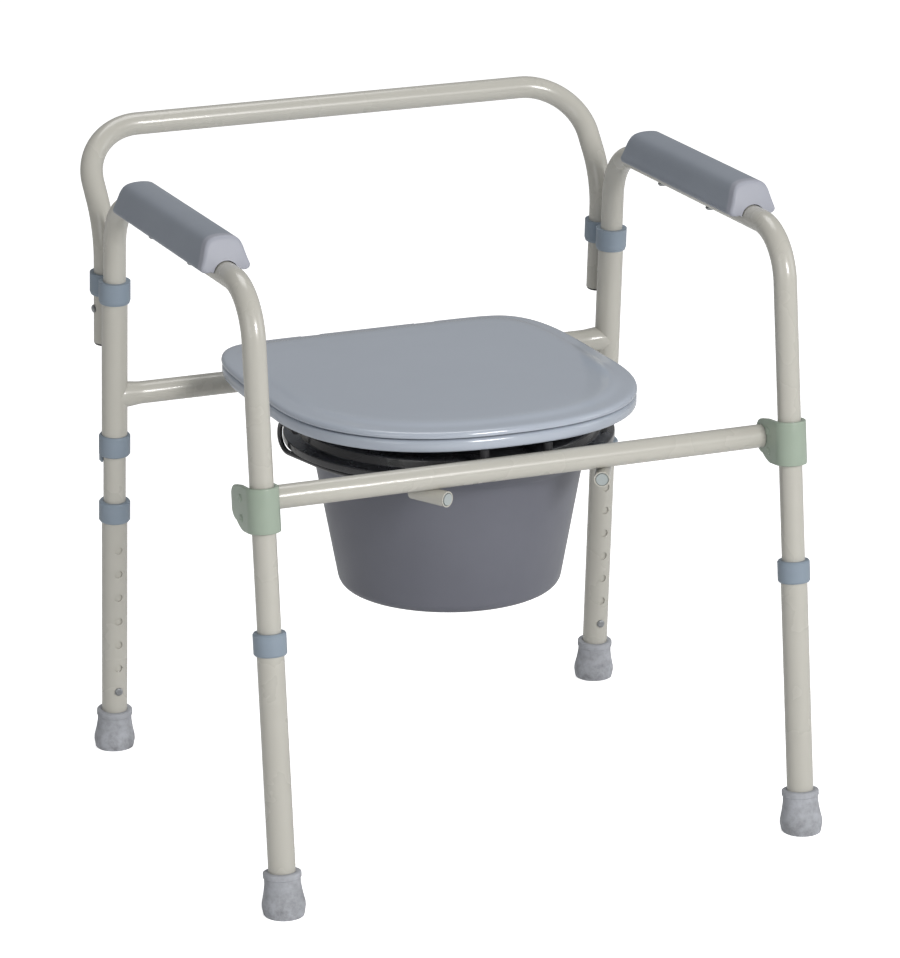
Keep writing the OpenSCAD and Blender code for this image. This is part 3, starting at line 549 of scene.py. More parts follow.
FINISHES: dict[Slot, Finish] = {
    Slot.FRAME_TUBE: PowderCoat(
        "powder_coat_warm_grey", (0.734, 0.726, 0.693), (0.728, 0.720, 0.686), (0.24, 0.31)
    ),
    Slot.COLLAR: GrainedPlastic(
        "collar_blue_grey", (0.545, 0.595, 0.645), (0.515, 0.565, 0.615), (0.38, 0.46)
    ),
    Slot.ARM_PAD: PadPlastic("arm_pad_grey", (0.562, 0.588, 0.628), (0.542, 0.568, 0.608), (0.42, 0.52)),
    Slot.BRACKET: PowderCoat("bracket_sage_green", (0.605, 0.66, 0.60), (0.595, 0.65, 0.59), (0.34, 0.42)),
    Slot.SEAT_SHELL: GlossPlastic(
        "seat_blue_grey_gloss", (0.685, 0.715, 0.76), (0.675, 0.705, 0.75), (0.10, 0.14), 5.0
    ),
    Slot.PAIL_SHELL: PailPlastic(
        "pail_purple_grey", (0.412, 0.42, 0.458), (0.394, 0.401, 0.439), (0.32, 0.42)
    ),
    Slot.PAIL_COVER: BlackGloss("pail_lid_black", (0.12, 0.12, 0.13), (0.16, 0.16, 0.17), (0.18, 0.32), 22.0),
    Slot.WIRE: BlackGloss("wire_black_dip", (0.10, 0.10, 0.11), (0.13, 0.13, 0.14), (0.22, 0.3), 30.0),
    Slot.TIP_RUBBER: TipRubber("tip_rubber_grey", (0.70, 0.71, 0.735), (0.64, 0.65, 0.67), (0.72, 0.86)),
    Slot.PLUG: GrainedPlastic("plug_light_grey", (0.66, 0.69, 0.69), (0.63, 0.66, 0.66), (0.4, 0.5)),
    Slot.STEEL: ZincPlate("zinc_plate", (0.66, 0.67, 0.68), (0.60, 0.61, 0.62), (0.3, 0.42), 120.0),
    Slot.DARK_PLUG: GrainedPlastic("plug_black", (0.14, 0.14, 0.15), (0.17, 0.17, 0.18), (0.42, 0.55)),
}


class Wardrobe:
    """Makes each finish's material once and gives pieces the material of their slot, and their body."""

    def __init__(self) -> None:
        """Builds every material."""
        self.materials = {slot: finish.build() for slot, finish in FINISHES.items()}

    def piece(
        self, mesh: Mesh, body: str, slot: Slot, replaces: Sequence[str] = ()
    ) -> bpy.types.Object:
        """Makes an object of a mesh.

        Args:
            mesh: The finished mesh, placed in its vertices.
            body: The frame body it moves with.
            slot: The material slot it takes its finish from.
            replaces: Frame nodes that it stands for.

        Returns:
            The object, at the origin.
        """
        obj = bpy.data.objects.new(mesh.name, mesh)
        bpy.context.scene.collection.objects.link(obj)
        mesh.materials.append(self.materials[slot])
        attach(obj, body)
        if replaces:
            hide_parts(*replaces)
        log.info("piece %s on %s, %d faces", obj.name, body, len(mesh.polygons))
        return obj

    def dress_nodes(self) -> None:
        """Gives every node of the frame the material of its slot."""
        slots = {s["node"]: Slot(s["material_slot"]) for s in frame["record"]["subparts"]}
        for name, node in frame["nodes"].items():
            node.data.materials.clear()
            node.data.materials.append(self.materials[slots[name]])
        log.info("dressed %d frame nodes", len(frame["nodes"]))


# ---- Sizes ---------------------------------------------------------------------------------------


@dataclass(frozen=True)
class Plan:
    """The sizes that pieces share, in millimetres and degrees.

    A name that ends in _s is a length up along a leg from the floor. One that ends in _gap, _in or _back is
    the offset of one piece from another. middle_y is how far the middle of the whole model's box lies behind
    the middle between the feet.
    """

    half_span: float = 265.0
    foot_half: float = 242.0
    middle_y: float = 23.8987
    arm_z: float = 577.0
    front_tilt: float = 5.8
    rear_tilt: float = 4.6
    tube_r: float = 11.1
    bore_r: float = 9.8
    sleeve_r: float = 12.7
    arm_bend: float = 53.0
    tube_end_s: float = 44.0
    rear_bar_z: float = 375.0
    seat_z: float = 396.0
    seat_h: float = 11.8
    lid_z: float = 408.3
    lid_h: float = 11.2
    hinge_z: float = 403.0
    front_bar_s: float = 383.0
    front_bar_back: float = 28.5
    lip_z: float = 366.0
    lip_front_gap: float = 14.0
    lip_rear_gap: float = 57.8
    rear_edge_in: float = 0.8
    front_edge_in: float = 3.4
    hinge_back: float = 3.5

    def leg(self, side: Side, row: Row) -> Place:
        """Returns a leg's place: Z up along the leg from the floor, Y towards the inside of the chair."""
        x = side.value * self.half_span
        if row is Row.FRONT:
            return Place(rotation_x(-self.front_tilt), np.array([x, self.foot_front_y, 0.0]))
        turn = rotation_z(180) @ rotation_x(-self.rear_tilt)
        return Place(turn, np.array([x, self.foot_rear_y, 0.0]))

    @property
    def foot_front_y(self) -> float:
        """Where the front legs' axes meet the floor."""
        return -self.foot_half - self.middle_y

    @property
    def foot_rear_y(self) -> float:
        """Where the rear legs' axes meet the floor."""
        return self.foot_half - self.middle_y

    @property
    def rear_plane(self) -> Place:
        """The leaning plane of the rear legs: Z along the legs, Y to the rear."""
        return Place(rotation_x(self.rear_tilt), np.array([0.0, self.foot_rear_y, 0.0]))

    @property
    def rear_bar_y(self) -> float:
        """Where the rear cross tube lies."""
        return self.foot_rear_y - self.rear_bar_z * math.tan(math.radians(self.rear_tilt))

    @property
    def front_bar(self) -> tuple[float, float]:
        """Y and Z of the front bar's axis."""
        t = math.radians(self.front_tilt)
        y = self.foot_front_y + self.front_bar_s * math.sin(t) + self.front_bar_back * math.cos(t)
        return y, self.front_bar_s * math.cos(t) - self.front_bar_back * math.sin(t)

    @property
    def lip_r(self) -> float:
        """Radius of the pail's lip: what the two cross tubes leave, less a gap at each."""
        return (self.rear_bar_y - self.front_bar[0] - self.lip_front_gap - self.lip_rear_gap) / 2

    @property
    def pail_y(self) -> float:
        """Where the pail's axis stands."""
        return self.front_bar[0] + self.lip_front_gap + self.lip_r

    @property
    def seat_rear_y(self) -> float:
        """Where the straight rear edge of seat and lid lies."""
        return self.rear_bar_y - self.rear_edge_in

    @property
    def hinge_y(self) -> float:
        """Where the hinge axis lies."""
        return self.seat_rear_y + self.hinge_back


PLAN = Plan()


# ---- Frame tubes ---------------------------------------------------------------------------------


@dataclass
class SideFrames:
    """The two bent side tubes."""

    plan: Plan = PLAN

    def path(self, side: Side) -> Array:
        """Runs up the front leg, along the arm rest and down the rear leg."""
        p = self.plan
        x = side.value * p.half_span
        tf, tr = math.tan(math.radians(p.front_tilt)), math.tan(math.radians(p.rear_tilt))
        foot_f = p.tube_end_s * math.cos(math.radians(p.front_tilt))
        foot_r = p.tube_end_s * math.cos(math.radians(p.rear_tilt))
        corners = [
            (x, p.foot_front_y + foot_f * tf, foot_f),
            (x, p.foot_front_y + p.arm_z * tf, p.arm_z),
            (x, p.foot_rear_y - p.arm_z * tr, p.arm_z),
            (x, p.foot_rear_y - foot_r * tr, foot_r),
        ]
        return rounded_path(corners, (p.arm_bend, p.arm_bend), 28)

    def build(self, wardrobe: Wardrobe) -> None:
        """Makes both tubes."""
        p = self.plan
        for side in Side:
            rings = pipe_rings(self.path(side), p.tube_r, p.bore_r, (1, 0, 0), 48)
            mesh = shell_mesh(f"side_tube_{side.word}", rings, join_ends=True)
            wardrobe.piece(mesh, f"side_{side.word}", Slot.FRAME_TUBE, (f"side_frame_{side.word}",))


@dataclass
class BackRest:
    """The removable back rest tube, which leans back above its clamps."""

    plan: Plan = PLAN
    offset: float = 29.0
    low_s: float = 423.0
    bend_s: float = 538.4
    bend_r: float = 80.0
    lean: float = 44.5
    reach: float = 110.8
    corner_r: float = 59.5

    def path(self) -> Array:
        """Runs from the left end, over the top and down to the right end, in the rear legs' plane.

        From the bend at height s, a length r at the lean a ends at (r sin(a), s + r cos(a)).
        """
        a = math.radians(self.lean)
        x, y, s = self.plan.half_span, self.offset, self.bend_s
        top = (x, y + self.reach * math.sin(a), s + self.reach * math.cos(a))
        half = [(x, y, self.low_s), (x, y, s), top]
        corners = [(-x, y, s) for x, y, s in half] + half[::-1]
        return rounded_path(corners, (self.bend_r, self.corner_r, self.corner_r, self.bend_r), 24)

    def build(self, wardrobe: Wardrobe) -> None:
        """Makes the tube."""
        p = self.plan
        rings = pipe_rings(self.path(), p.tube_r, p.bore_r, (0, 1, 0), 48)
        mesh = shell_mesh("back_rest_tube", p.rear_plane.of(rings), join_ends=True)
        wardrobe.piece(mesh, "back_rest_frame", Slot.FRAME_TUBE, ("back_rest",))


@dataclass
class RearBar:
    """The rear cross tube, flared at each end where it is welded to a sleeve."""

    plan: Plan = PLAN
    weld_r: float = 12.5
    flare_x: float = 237.0
    sunk: float = 0.3

    def build(self, wardrobe: Wardrobe) -> None:
        """Makes the tube.

        An end ring of radius r lies on the sleeve, a little sunk in: x = span - sqrt(sleeve^2 - (r cos a)^2).
        Between the straight tube and that ring, r grows by the smooth step u^2 (3 - 2 u) of the share u of
        the way.
        """
        p = self.plan
        a = np.linspace(0, 2 * math.pi, 48, endpoint=False)
        u = np.linspace(0, 1, 11)[:, None]
        r = p.tube_r + (self.weld_r - p.tube_r) * u**2 * (3 - 2 * u)
        end_x = p.half_span - np.sqrt(p.sleeve_r**2 - (self.weld_r * np.cos(a)) ** 2) + self.sunk
        x = self.flare_x + (end_x - self.flare_x) * u
        right = np.stack([x, r * np.cos(a), r * np.sin(a)], axis=-1)
        left = (right * [-1, 1, 1])[::-1]
        s = p.rear_bar_z / math.cos(math.radians(p.rear_tilt))
        rings = p.rear_plane.of(np.concatenate([left, right]) + [0.0, 0.0, s])
        wardrobe.piece(shell_mesh("rear_bar_tube", rings), "rear_frame", Slot.FRAME_TUBE, ("rear_bar",))


@dataclass
class Brackets:
    """The two folded plates that hold the front bar to the front legs, each with two riveted flanges."""

    plan: Plan = PLAN
    mid_s: float = 380.0
    half_h: float = 21.0
    inner_r: float = 11.2
    outer_r: float = 15.7
    end_r: float = 11.0
    end_straight: float = 5.5
    rivet_y: float = 15.5
    rivet_dz: float = 9.5
    head_r: float = 3.9
    head_h: float = 1.15
    spigot_r: float = 9.0
    spigot_l: float = 6.0
    spigot_soft: float = 0.8
    top_start: float = 2.0
    low_start: float = -4.0
    fullness: float = 1.7
    edge_soft: float = 1.1
    flange: Span = (27.0, 1.0)
    end_thin: tuple[float, ...] = (0.5, 0.85, 0.97)

    @property
    def up(self) -> float:
        """How far the bar's axis lies above the plate's middle."""
        return self.plan.front_bar_s - self.mid_s

    def slope(self, y: Array, start: float) -> Array:
        """Returns the share of the way to the bar from a start beyond the rivets, held at 0 and 1."""
        return np.clip((y - self.rivet_y - start) / (self.plan.front_bar_back - self.rivet_y - start), 0, 1)

    def top_and_bottom(self, y: Array) -> tuple[Array, Array]:
        """Returns the plate's edges over y: level at the leg, sloping in, then round about the bar.

        The lower edge rises as the share of the way to the bar to the power of the fullness.
        """
        back, half_h = self.plan.front_bar_back, self.half_h
        drop = np.sqrt(np.clip(self.end_r**2 - np.clip(y - back, 0, None) ** 2, 0, None))
        round_h = drop + self.end_straight
        top_rise = self.up + self.end_r + self.end_straight - half_h
        low_rise = self.up - self.end_r - self.end_straight + half_h
        slope_low = self.slope(y, self.low_start) ** self.fullness
        top = np.where(y > back, self.up + round_h, half_h + top_rise * self.slope(y, self.top_start))
        low = np.where(y > back, self.up - round_h, -half_h + low_rise * slope_low)
        return top, low

    def plate(self) -> Array:
        """Lofts the plate: a rounded oblong carried along a U in plan, round the front of the leg.

        A station of the U has a place (x, y) and an outward direction (nx, ny). Its oblong spans the plate's
        thickness along that direction and the plate's edges in height, with quarter rounds at the corners.
        """
        mid, half_t = (self.inner_r + self.outer_r) / 2, (self.outer_r - self.inner_r) / 2
        soft = self.edge_soft
        bend = np.linspace(math.pi, 2 * math.pi, 37)
        phi = np.linspace(math.pi / 2, 0, 15)
        around_bar = self.plan.front_bar_back + self.end_r * np.sin(phi)
        away = np.concatenate([around_bar, np.linspace(*self.flange, 14)])
        y = np.concatenate([away, mid * np.sin(bend), away[::-1]])
        x = np.concatenate([np.full(len(away), -mid), mid * np.cos(bend), np.full(len(away), mid)])
        nx = np.concatenate([np.full(len(away), -1.0), np.cos(bend), np.full(len(away), 1.0)])
        ny = np.concatenate([np.zeros(len(away)), np.sin(bend), np.zeros(len(away))])
        top, low = self.top_and_bottom(y)
        thin = np.ones(len(y))
        thin[: len(self.end_thin)] = self.end_thin
        thin[-len(self.end_thin) :] = self.end_thin[::-1]
        q = np.linspace(0, math.pi / 2, 5)
        corner_n = np.concatenate([np.cos(q), -np.sin(q), -np.cos(q), np.sin(q)])
        corner_z = np.concatenate([np.sin(q), np.cos(q), -np.sin(q), -np.cos(q)])
        across = np.repeat([1, -1, -1, 1], len(q)) * (half_t - soft) + soft * corner_n
        upper = np.repeat([True, True, False, False], len(q))
        z = np.where(upper, top[:, None] - soft, low[:, None] + soft) + soft * corner_z
        off = across * thin[:, None]
        return np.stack([x[:, None] + nx[:, None] * off, y[:, None] + ny[:, None] * off, z], axis=-1)

    def rivet(self, dz: float, sign: int) -> Array:
        """Turns a domed head with a shallow dimple, and lays it on one face of the plate."""
        r, h = self.head_r, self.head_h
        profile = [(FINE_POLE, h - 0.45), (0.9, h - 0.4), (1.5, h - 0.08), (1.9, h), (2.5, h - 0.05),
                   (r - 0.5, h - 0.45), (r - 0.1, h - 0.85), (r, 0.1), (r, -0.6), (FINE_POLE, -0.6)]
        a, b, out = np.moveaxis(lathe_rings(profile, 32), -1, 0)
        return np.stack([sign * (self.outer_r + out), self.rivet_y + a, dz + b], -1)

    def spigot(self, side: Side) -> Array:
        """Turns the stub that goes into the bar's end, on the plate's inner face."""
        r, end, soft = self.spigot_r, self.spigot_l, self.spigot_soft
        profile = [(FINE_POLE, -soft), (r, -soft), (r, end - soft), (r - soft, end), (FINE_POLE, end)]
        a, b, out = np.moveaxis(lathe_rings(profile, 40), -1, 0)
        return np.stack([-side.value * (self.outer_r + out), self.plan.front_bar_back + a, self.up + b], -1)

    def build(self, wardrobe: Wardrobe) -> None:
        """Makes each bracket: plate, four rivet heads and spigot."""
        for side in Side:
            heads = [self.rivet(dz, sign) for dz in (-self.rivet_dz, self.rivet_dz) for sign in (-1, 1)]
            grids = [self.plate(), *heads, self.spigot(side)]
            place = self.plan.leg(side, Row.FRONT)
            parts = [shell_mesh("part", place.of(g + [0.0, 0.0, self.mid_s]), sharp_deg=50) for g in grids]
            nodes = (f"bar_bracket_{side.word}", f"bracket_rivets_{side.word}")
            mesh = joined_mesh(f"bracket_plate_{side.word}", parts)
            wardrobe.piece(mesh, f"side_{side.word}", Slot.BRACKET, nodes)


# ---- Seat and lid --------------------------------------------------------------------------------


@dataclass
class SeatAndLid:
    """The seat ring and the lid over it, with the knuckles of their hinges."""

    plan: Plan = PLAN
    half_w: float = 178.0
    mid_back: float = 9.0
    reach: float = 1.063
    corner_soft: float = 7.0
    hinge_x: float = 62.0
    notch_half: float = 11.4
    notch_y: float = 181.6
    opening_side: float = 54.0
    opening_end: float = 30.0
    knuckle_r: float = 4.9
    knuckle_w: float = 7.4
    knuckle_play: float = 0.2
    seat_tongue: tuple[float, float, float] = (-4.8, 4.5, 12.5)
    lid_tongue: tuple[float, float, float] = (0.05, 3.0, 14.5)
    front_power: float = 2.35
    rear_power: float = 5.0
    opening_power: float = 2.2
    opening_forward: float = 2.0
    even_from: float = 78.0
    notch_wall: float = 0.05
    dome_y: float = -4.0
    dome_low: float = 10.9
    lid_under: float = 5.2
    front_steps: int = 120
    stations: Array = field(init=False)

    def __post_init__(self) -> None:
        """Works out the outline's stations: bearings on the oval, with exact places at the hinge notches.

        Along the rear edge they are given by x, with two of them close together at each wall of a notch.
        """
        power, wall = self.rear_power, self.notch_wall
        lo, hi = self.hinge_x - self.notch_half, self.hinge_x + self.notch_half
        beyond = np.linspace(self.even_from, hi + wall, 4)
        notch = np.linspace(hi - wall, lo + wall, 8)
        x = np.concatenate([beyond, notch, np.linspace(lo - wall, 2, 9)])
        rear = np.arctan2(self.behind * (1 - (x / self.half_w) ** power) ** (1 / power), x)
        sweep = np.concatenate([np.linspace(0, rear[0], 46)[:-1], rear])
        front = np.linspace(-math.pi, 0, self.front_steps + 1)[:-1]
        self.stations = np.concatenate([front, sweep, (math.pi - sweep)[::-1][:-1]])

    @property
    def mid_y(self) -> float:
        """Where the outline is widest."""
        return self.plan.pail_y + self.mid_back

    @property
    def front(self) -> float:
        """From the widest line to the front point."""
        return self.mid_y - self.plan.front_bar[0] - self.plan.front_edge_in

    @property
    def behind(self) -> float:
        """Half axis of the rear oval, which the straight rear edge cuts."""
        return self.reach * (self.plan.seat_rear_y - self.mid_y)

    def outline(self, inset: float, notched: bool = True) -> Array:
        """Returns the outline drawn in by an inset, as columns x 2.

        Front and rear half are ovals of their own powers. The rear one's y is held under the straight rear
        edge by a soft minimum, -k ln(exp(-y/k) + exp(-edge/k)); at the hinges y is held under the notch.
        """
        t = self.stations
        fx, fy = superellipse(t, self.half_w - inset, self.front - inset, self.front_power)
        rx, ry = superellipse(t, self.half_w - inset, self.behind - inset, self.rear_power)
        edge, k = self.plan.seat_rear_y - self.mid_y - inset, self.corner_soft
        held = -k * np.logaddexp(-ry / k, -edge / k)
        x, y = np.where(t < 0, fx, rx), self.mid_y + np.where(t < 0, fy, held)
        if notched:
            full_x = superellipse(t, self.half_w, self.behind, self.rear_power)[0]
            at_hinge = (t > 0) & (np.abs(np.abs(full_x) - self.hinge_x) < self.notch_half)
            y = np.where(at_hinge, np.minimum(y, self.notch_y - min(inset, 1.0)), y)
        return np.column_stack([x, y])

    def stack(self, profile: Sequence[tuple[float, float]], notched: bool = True) -> Array:
        """Stacks outlines: one for each (inset, height) of a profile."""
        level = np.ones(len(self.stations))
        return np.stack([np.column_stack([self.outline(i, notched), z * level]) for i, z in profile])

    def lid_mesh(self) -> Mesh:
        """Makes the lid: hollow below, rounded rim, gently raised panel.

        Inside the rim the outline shrinks to a share w of itself about the middle. The panel rises there to
        low + (top - low) (1 - w^2), and the underside is level.
        """
        z0, low = self.plan.lid_z, self.dome_low
        under = [(7.0, self.lid_under), (6.2, 4.9), (6.0, 4.3), (6.0, 1.5), (5.7, 1.1), (5.0, 0.9)]
        edge = [(1.6, 0.9), (0.8, 1.05), (0.25, 1.4), (0.0, 2.0), (0.0, 2.8), (0.2, 4.0), (0.6, 5.0),
                (1.2, 5.8), (2.2, 6.5), (3.8, 7.0)]
        border = [(6.5, 7.35), (10.0, 7.7), (13.0, 8.0), (15.0, 8.3)]
        step = [(17.0, 8.75), (19.0, 9.35), (21.0, 9.9), (23.0, 10.3), (25.5, 10.6), (29.0, 10.8),
                (36.0, 10.95)]
        rings = self.stack([(i, z0 + z) for i, z in under + edge + border + step])
        middle = np.array([0.0, self.dome_y, 0.0])
        share = np.array([0.85, 0.65, 0.45, 0.25, 0.1])[:, None, None]
        inner = (rings[-1] - middle) * share * np.array([1, 1, 0]) + middle
        inner[..., 2] = z0 + low + (self.plan.lid_h - low) * (1 - share[..., 0] ** 2)
        below = (rings[0] - middle) * share[::-1] * np.array([1, 1, 0]) + middle
        below[..., 2] = z0 + self.lid_under
        return shell_mesh("lid_panel", np.concatenate([below, rings, inner]), sharp_deg=50)

    def seat_mesh(self) -> Mesh:
        """Makes the seat ring: each section runs from the outline to the opening and back underneath."""
        p = self.plan
        z0, z1 = p.seat_z, p.seat_z + p.seat_h
        top_inset = 6.0
        outer = [(4.0, z0), (2.4, z0 + 0.2), (1.2, z0 + 0.9), (0.6, z0 + 2.2), (0.5, z0 + 5.0),
                 (0.5, z0 + 8.0), (0.9, z1 - 2.0), (1.8, z1 - 0.8), (3.4, z1 - 0.2), (top_inset, z1)]
        rows = self.stack(outer)
        last = self.outline(top_inset, False)
        centre_y = p.pail_y - self.opening_forward
        half_w, half_l = p.lip_r - self.opening_side, p.lip_r - self.opening_end
        t = np.arctan2(last[:, 1] - centre_y, last[:, 0])
        edge = [(9, z1), (6, z1 - 0.5), (3, z1 - 1.6), (1, z1 - 3.2), (0.2, z1 - 5.2), (0, z0 + 3),
                (0.6, z0 + 1), (2.0, z0)]
        inner = []
        for grow, z in edge:
            x, y = superellipse(t, half_w + grow, half_l + grow, self.opening_power)
            inner.append(np.column_stack([x, y + centre_y, np.full(len(x), z)]))
        grid = np.concatenate([rows, np.stack(inner)])
        return shell_mesh("seat_ring_shell", grid, join_ends=True, sharp_deg=50)

    def knuckle_meshes(self, start: float, floor: float, ceiling: float, tongue: float) -> list[Mesh]:
        """Makes a piece's two knuckles, each half a round about the pin drawn out to a tongue.

        Args:
            start: Where the knuckle starts along X, from the hinge's middle.
            floor: Lowest height of the tongue.
            ceiling: Greatest height of the tongue.
            tongue: How far the tongue reaches forwards of the pin.

        Returns:
            Two meshes.
        """
        p, r = self.plan, self.knuckle_r
        a = np.linspace(-math.pi / 2, math.pi / 2, 17)
        nose = np.column_stack([p.hinge_y + r * np.cos(a), p.hinge_z + r * np.sin(a)])
        root_y, tip_y = p.hinge_y - r * 0.6, p.hinge_y - tongue
        root = np.array([[root_y, ceiling], [tip_y, ceiling], [tip_y, floor], [root_y, floor]])
        section = np.vstack([nose, root])
        chamfer, shrink = 0.5, np.array([0.94, 1.0, 1.0, 0.94])[:, None, None]
        out = []
        for sign in (-1, 1):
            across = np.array([0.0, chamfer, self.knuckle_w - chamfer, self.knuckle_w])
            xs = sign * (self.hinge_x + start + across)
            mid = section.mean(axis=0)
            yz = mid + (section - mid) * shrink
            rings = np.concatenate([np.broadcast_to(xs[:, None, None], (4, len(section), 1)), yz], axis=-1)
            out.append(shell_mesh("knuckle", rings, sharp_deg=30))
        return out

    def build(self, wardrobe: Wardrobe) -> None:
        """Makes the lid and the seat with their knuckles.

        A tongue is given as its lowest and greatest height, from the pin on the seat and from the lid's own
        underside on the lid, and its reach.
        """
        p, play = self.plan, self.knuckle_play
        low, high, reach = self.seat_tongue
        seat_k = self.knuckle_meshes(-self.knuckle_w - play, p.hinge_z + low, p.hinge_z + high, reach)
        low, high, reach = self.lid_tongue
        lid_k = self.knuckle_meshes(play, p.lid_z + low, p.lid_z + high, reach)
        seat = joined_mesh("seat_ring_shell", [self.seat_mesh(), *seat_k])
        lid = joined_mesh("lid_panel", [self.lid_mesh(), *lid_k])
        wardrobe.piece(seat, "seat", Slot.SEAT_SHELL, ("seat_ring",))
        wardrobe.piece(lid, "lid", Slot.SEAT_SHELL, ("seat_lid",))


# ---- Pail ----------------------------------------------------------------------------------------


@dataclass
class Pail:
    """The pail with its rolled lip, and its black cover."""

    plan: Plan = PLAN
    floor_z: float = 215.0
    flare: float = 27.0
    taper: float = 24.0
    wall: float = 2.6
    lip_h: float = 4.0
    cover_h: float = 21.0
    cover_above: float = 0.3
    cover_round: float = 0.4
    cover_rim: float = 1.5
    finger_half: tuple[float, float, float] = (39.6, 6.8, 4.2)
    finger_up: float = 1.6
    finger_end: float = 0.35

    def pail_mesh(self) -> Mesh:
        """Turns the pail's profile, outside up to the lip and inside down again."""
        p, w = self.plan, self.wall
        z, lip = self.floor_z, p.lip_z
        top_r = p.lip_r - self.flare
        low_r = top_r - self.taper
        sunk_z = z + 1.2  # the floor stands on a ring round its sunk middle
        lip_low = lip - self.lip_h
        points = [(POLE, sunk_z), (low_r - 30, sunk_z), (low_r - 26, z), (low_r, z), (top_r, lip - 20),
                  (p.lip_r - 10, lip_low), (p.lip_r, lip_low), (p.lip_r, lip), (p.lip_r - 13, lip),
                  (top_r - w + 0.5, lip - 19), (low_r - w, z + w), (POLE, z + w)]
        radii = [1, 1, 12, 8, 1.5, 1.3, 1.5, 3, 9, 10]
        rings = lathe_rings(soft_profile(points, radii, 7), 144)
        rings[..., 1] += p.pail_y
        return shell_mesh("pail_body_shell", rings, sharp_deg=50)

    def cover_mesh(self) -> Mesh:
        """Turns the cover's stepped profile, and joins its finger bar."""
        p = self.plan
        z, top, neck = p.lip_z + self.cover_above, p.lip_z + self.cover_h, p.lip_r - 13
        rim_in = p.lip_r + self.cover_round
        rim_out = rim_in + self.cover_rim
        under = [(POLE, top - 6), (neck - 23, top - 6), (neck - 19, z + 1), (neck - 18, z - 6.8)]
        plug = [(neck - 15, z - 6.8), (neck - 13.5, z)]
        rim = [(rim_in, z), (rim_in, z - 3.6), (rim_out, z - 3.6), (rim_out, z + 3.2)]
        step = [(neck + 1, z + 4.6), (neck - 0.4, top - 7), (neck - 13, top - 4.6), (neck - 19, top)]
        dish = [(62, top), (57, top - 3), (POLE, top - 3)]
        radii = [2, 3, 1, 1, 1, 0.5, 0.5, 0.7, 1.4, 1.5, 3, 3, 2.5, 1.5, 1.5]
        rings = lathe_rings(soft_profile(under + plug + rim + step + dish, radii, 5), 144)
        rings[..., 1] += p.pail_y
        cover = shell_mesh("cover", rings, sharp_deg=35)
        return joined_mesh("pail_cover_shell", [cover, self.finger_bar(top)])

    def finger_bar(self, top: float) -> Mesh:
        """Lofts the finger bar: a rounded oblong drawn in towards its ends, by (1 - |u|^6)^(1/4)."""
        u = np.linspace(-1, 1, 17)[:, None]
        t = np.linspace(0, 2 * math.pi, 40, endpoint=False)
        half_l, half_w, half_h = self.finger_half
        y, z = superellipse(t, half_w, half_h, 4)
        draw = (1 - np.abs(u) ** 6) ** 0.25
        draw[[0, -1]] = self.finger_end
        x = half_l * u * np.ones(len(t))
        rings = np.stack([x, self.plan.pail_y + draw * y, top + self.finger_up + draw * z], axis=-1)
        return shell_mesh("finger_bar", rings)

    def build(self, wardrobe: Wardrobe) -> None:
        """Makes the pail and its cover."""
        wardrobe.piece(self.pail_mesh(), "pail_body", Slot.PAIL_SHELL, ("pail",))
        wardrobe.piece(self.cover_mesh(), "pail_cover", Slot.PAIL_COVER, ("pail_lid",))


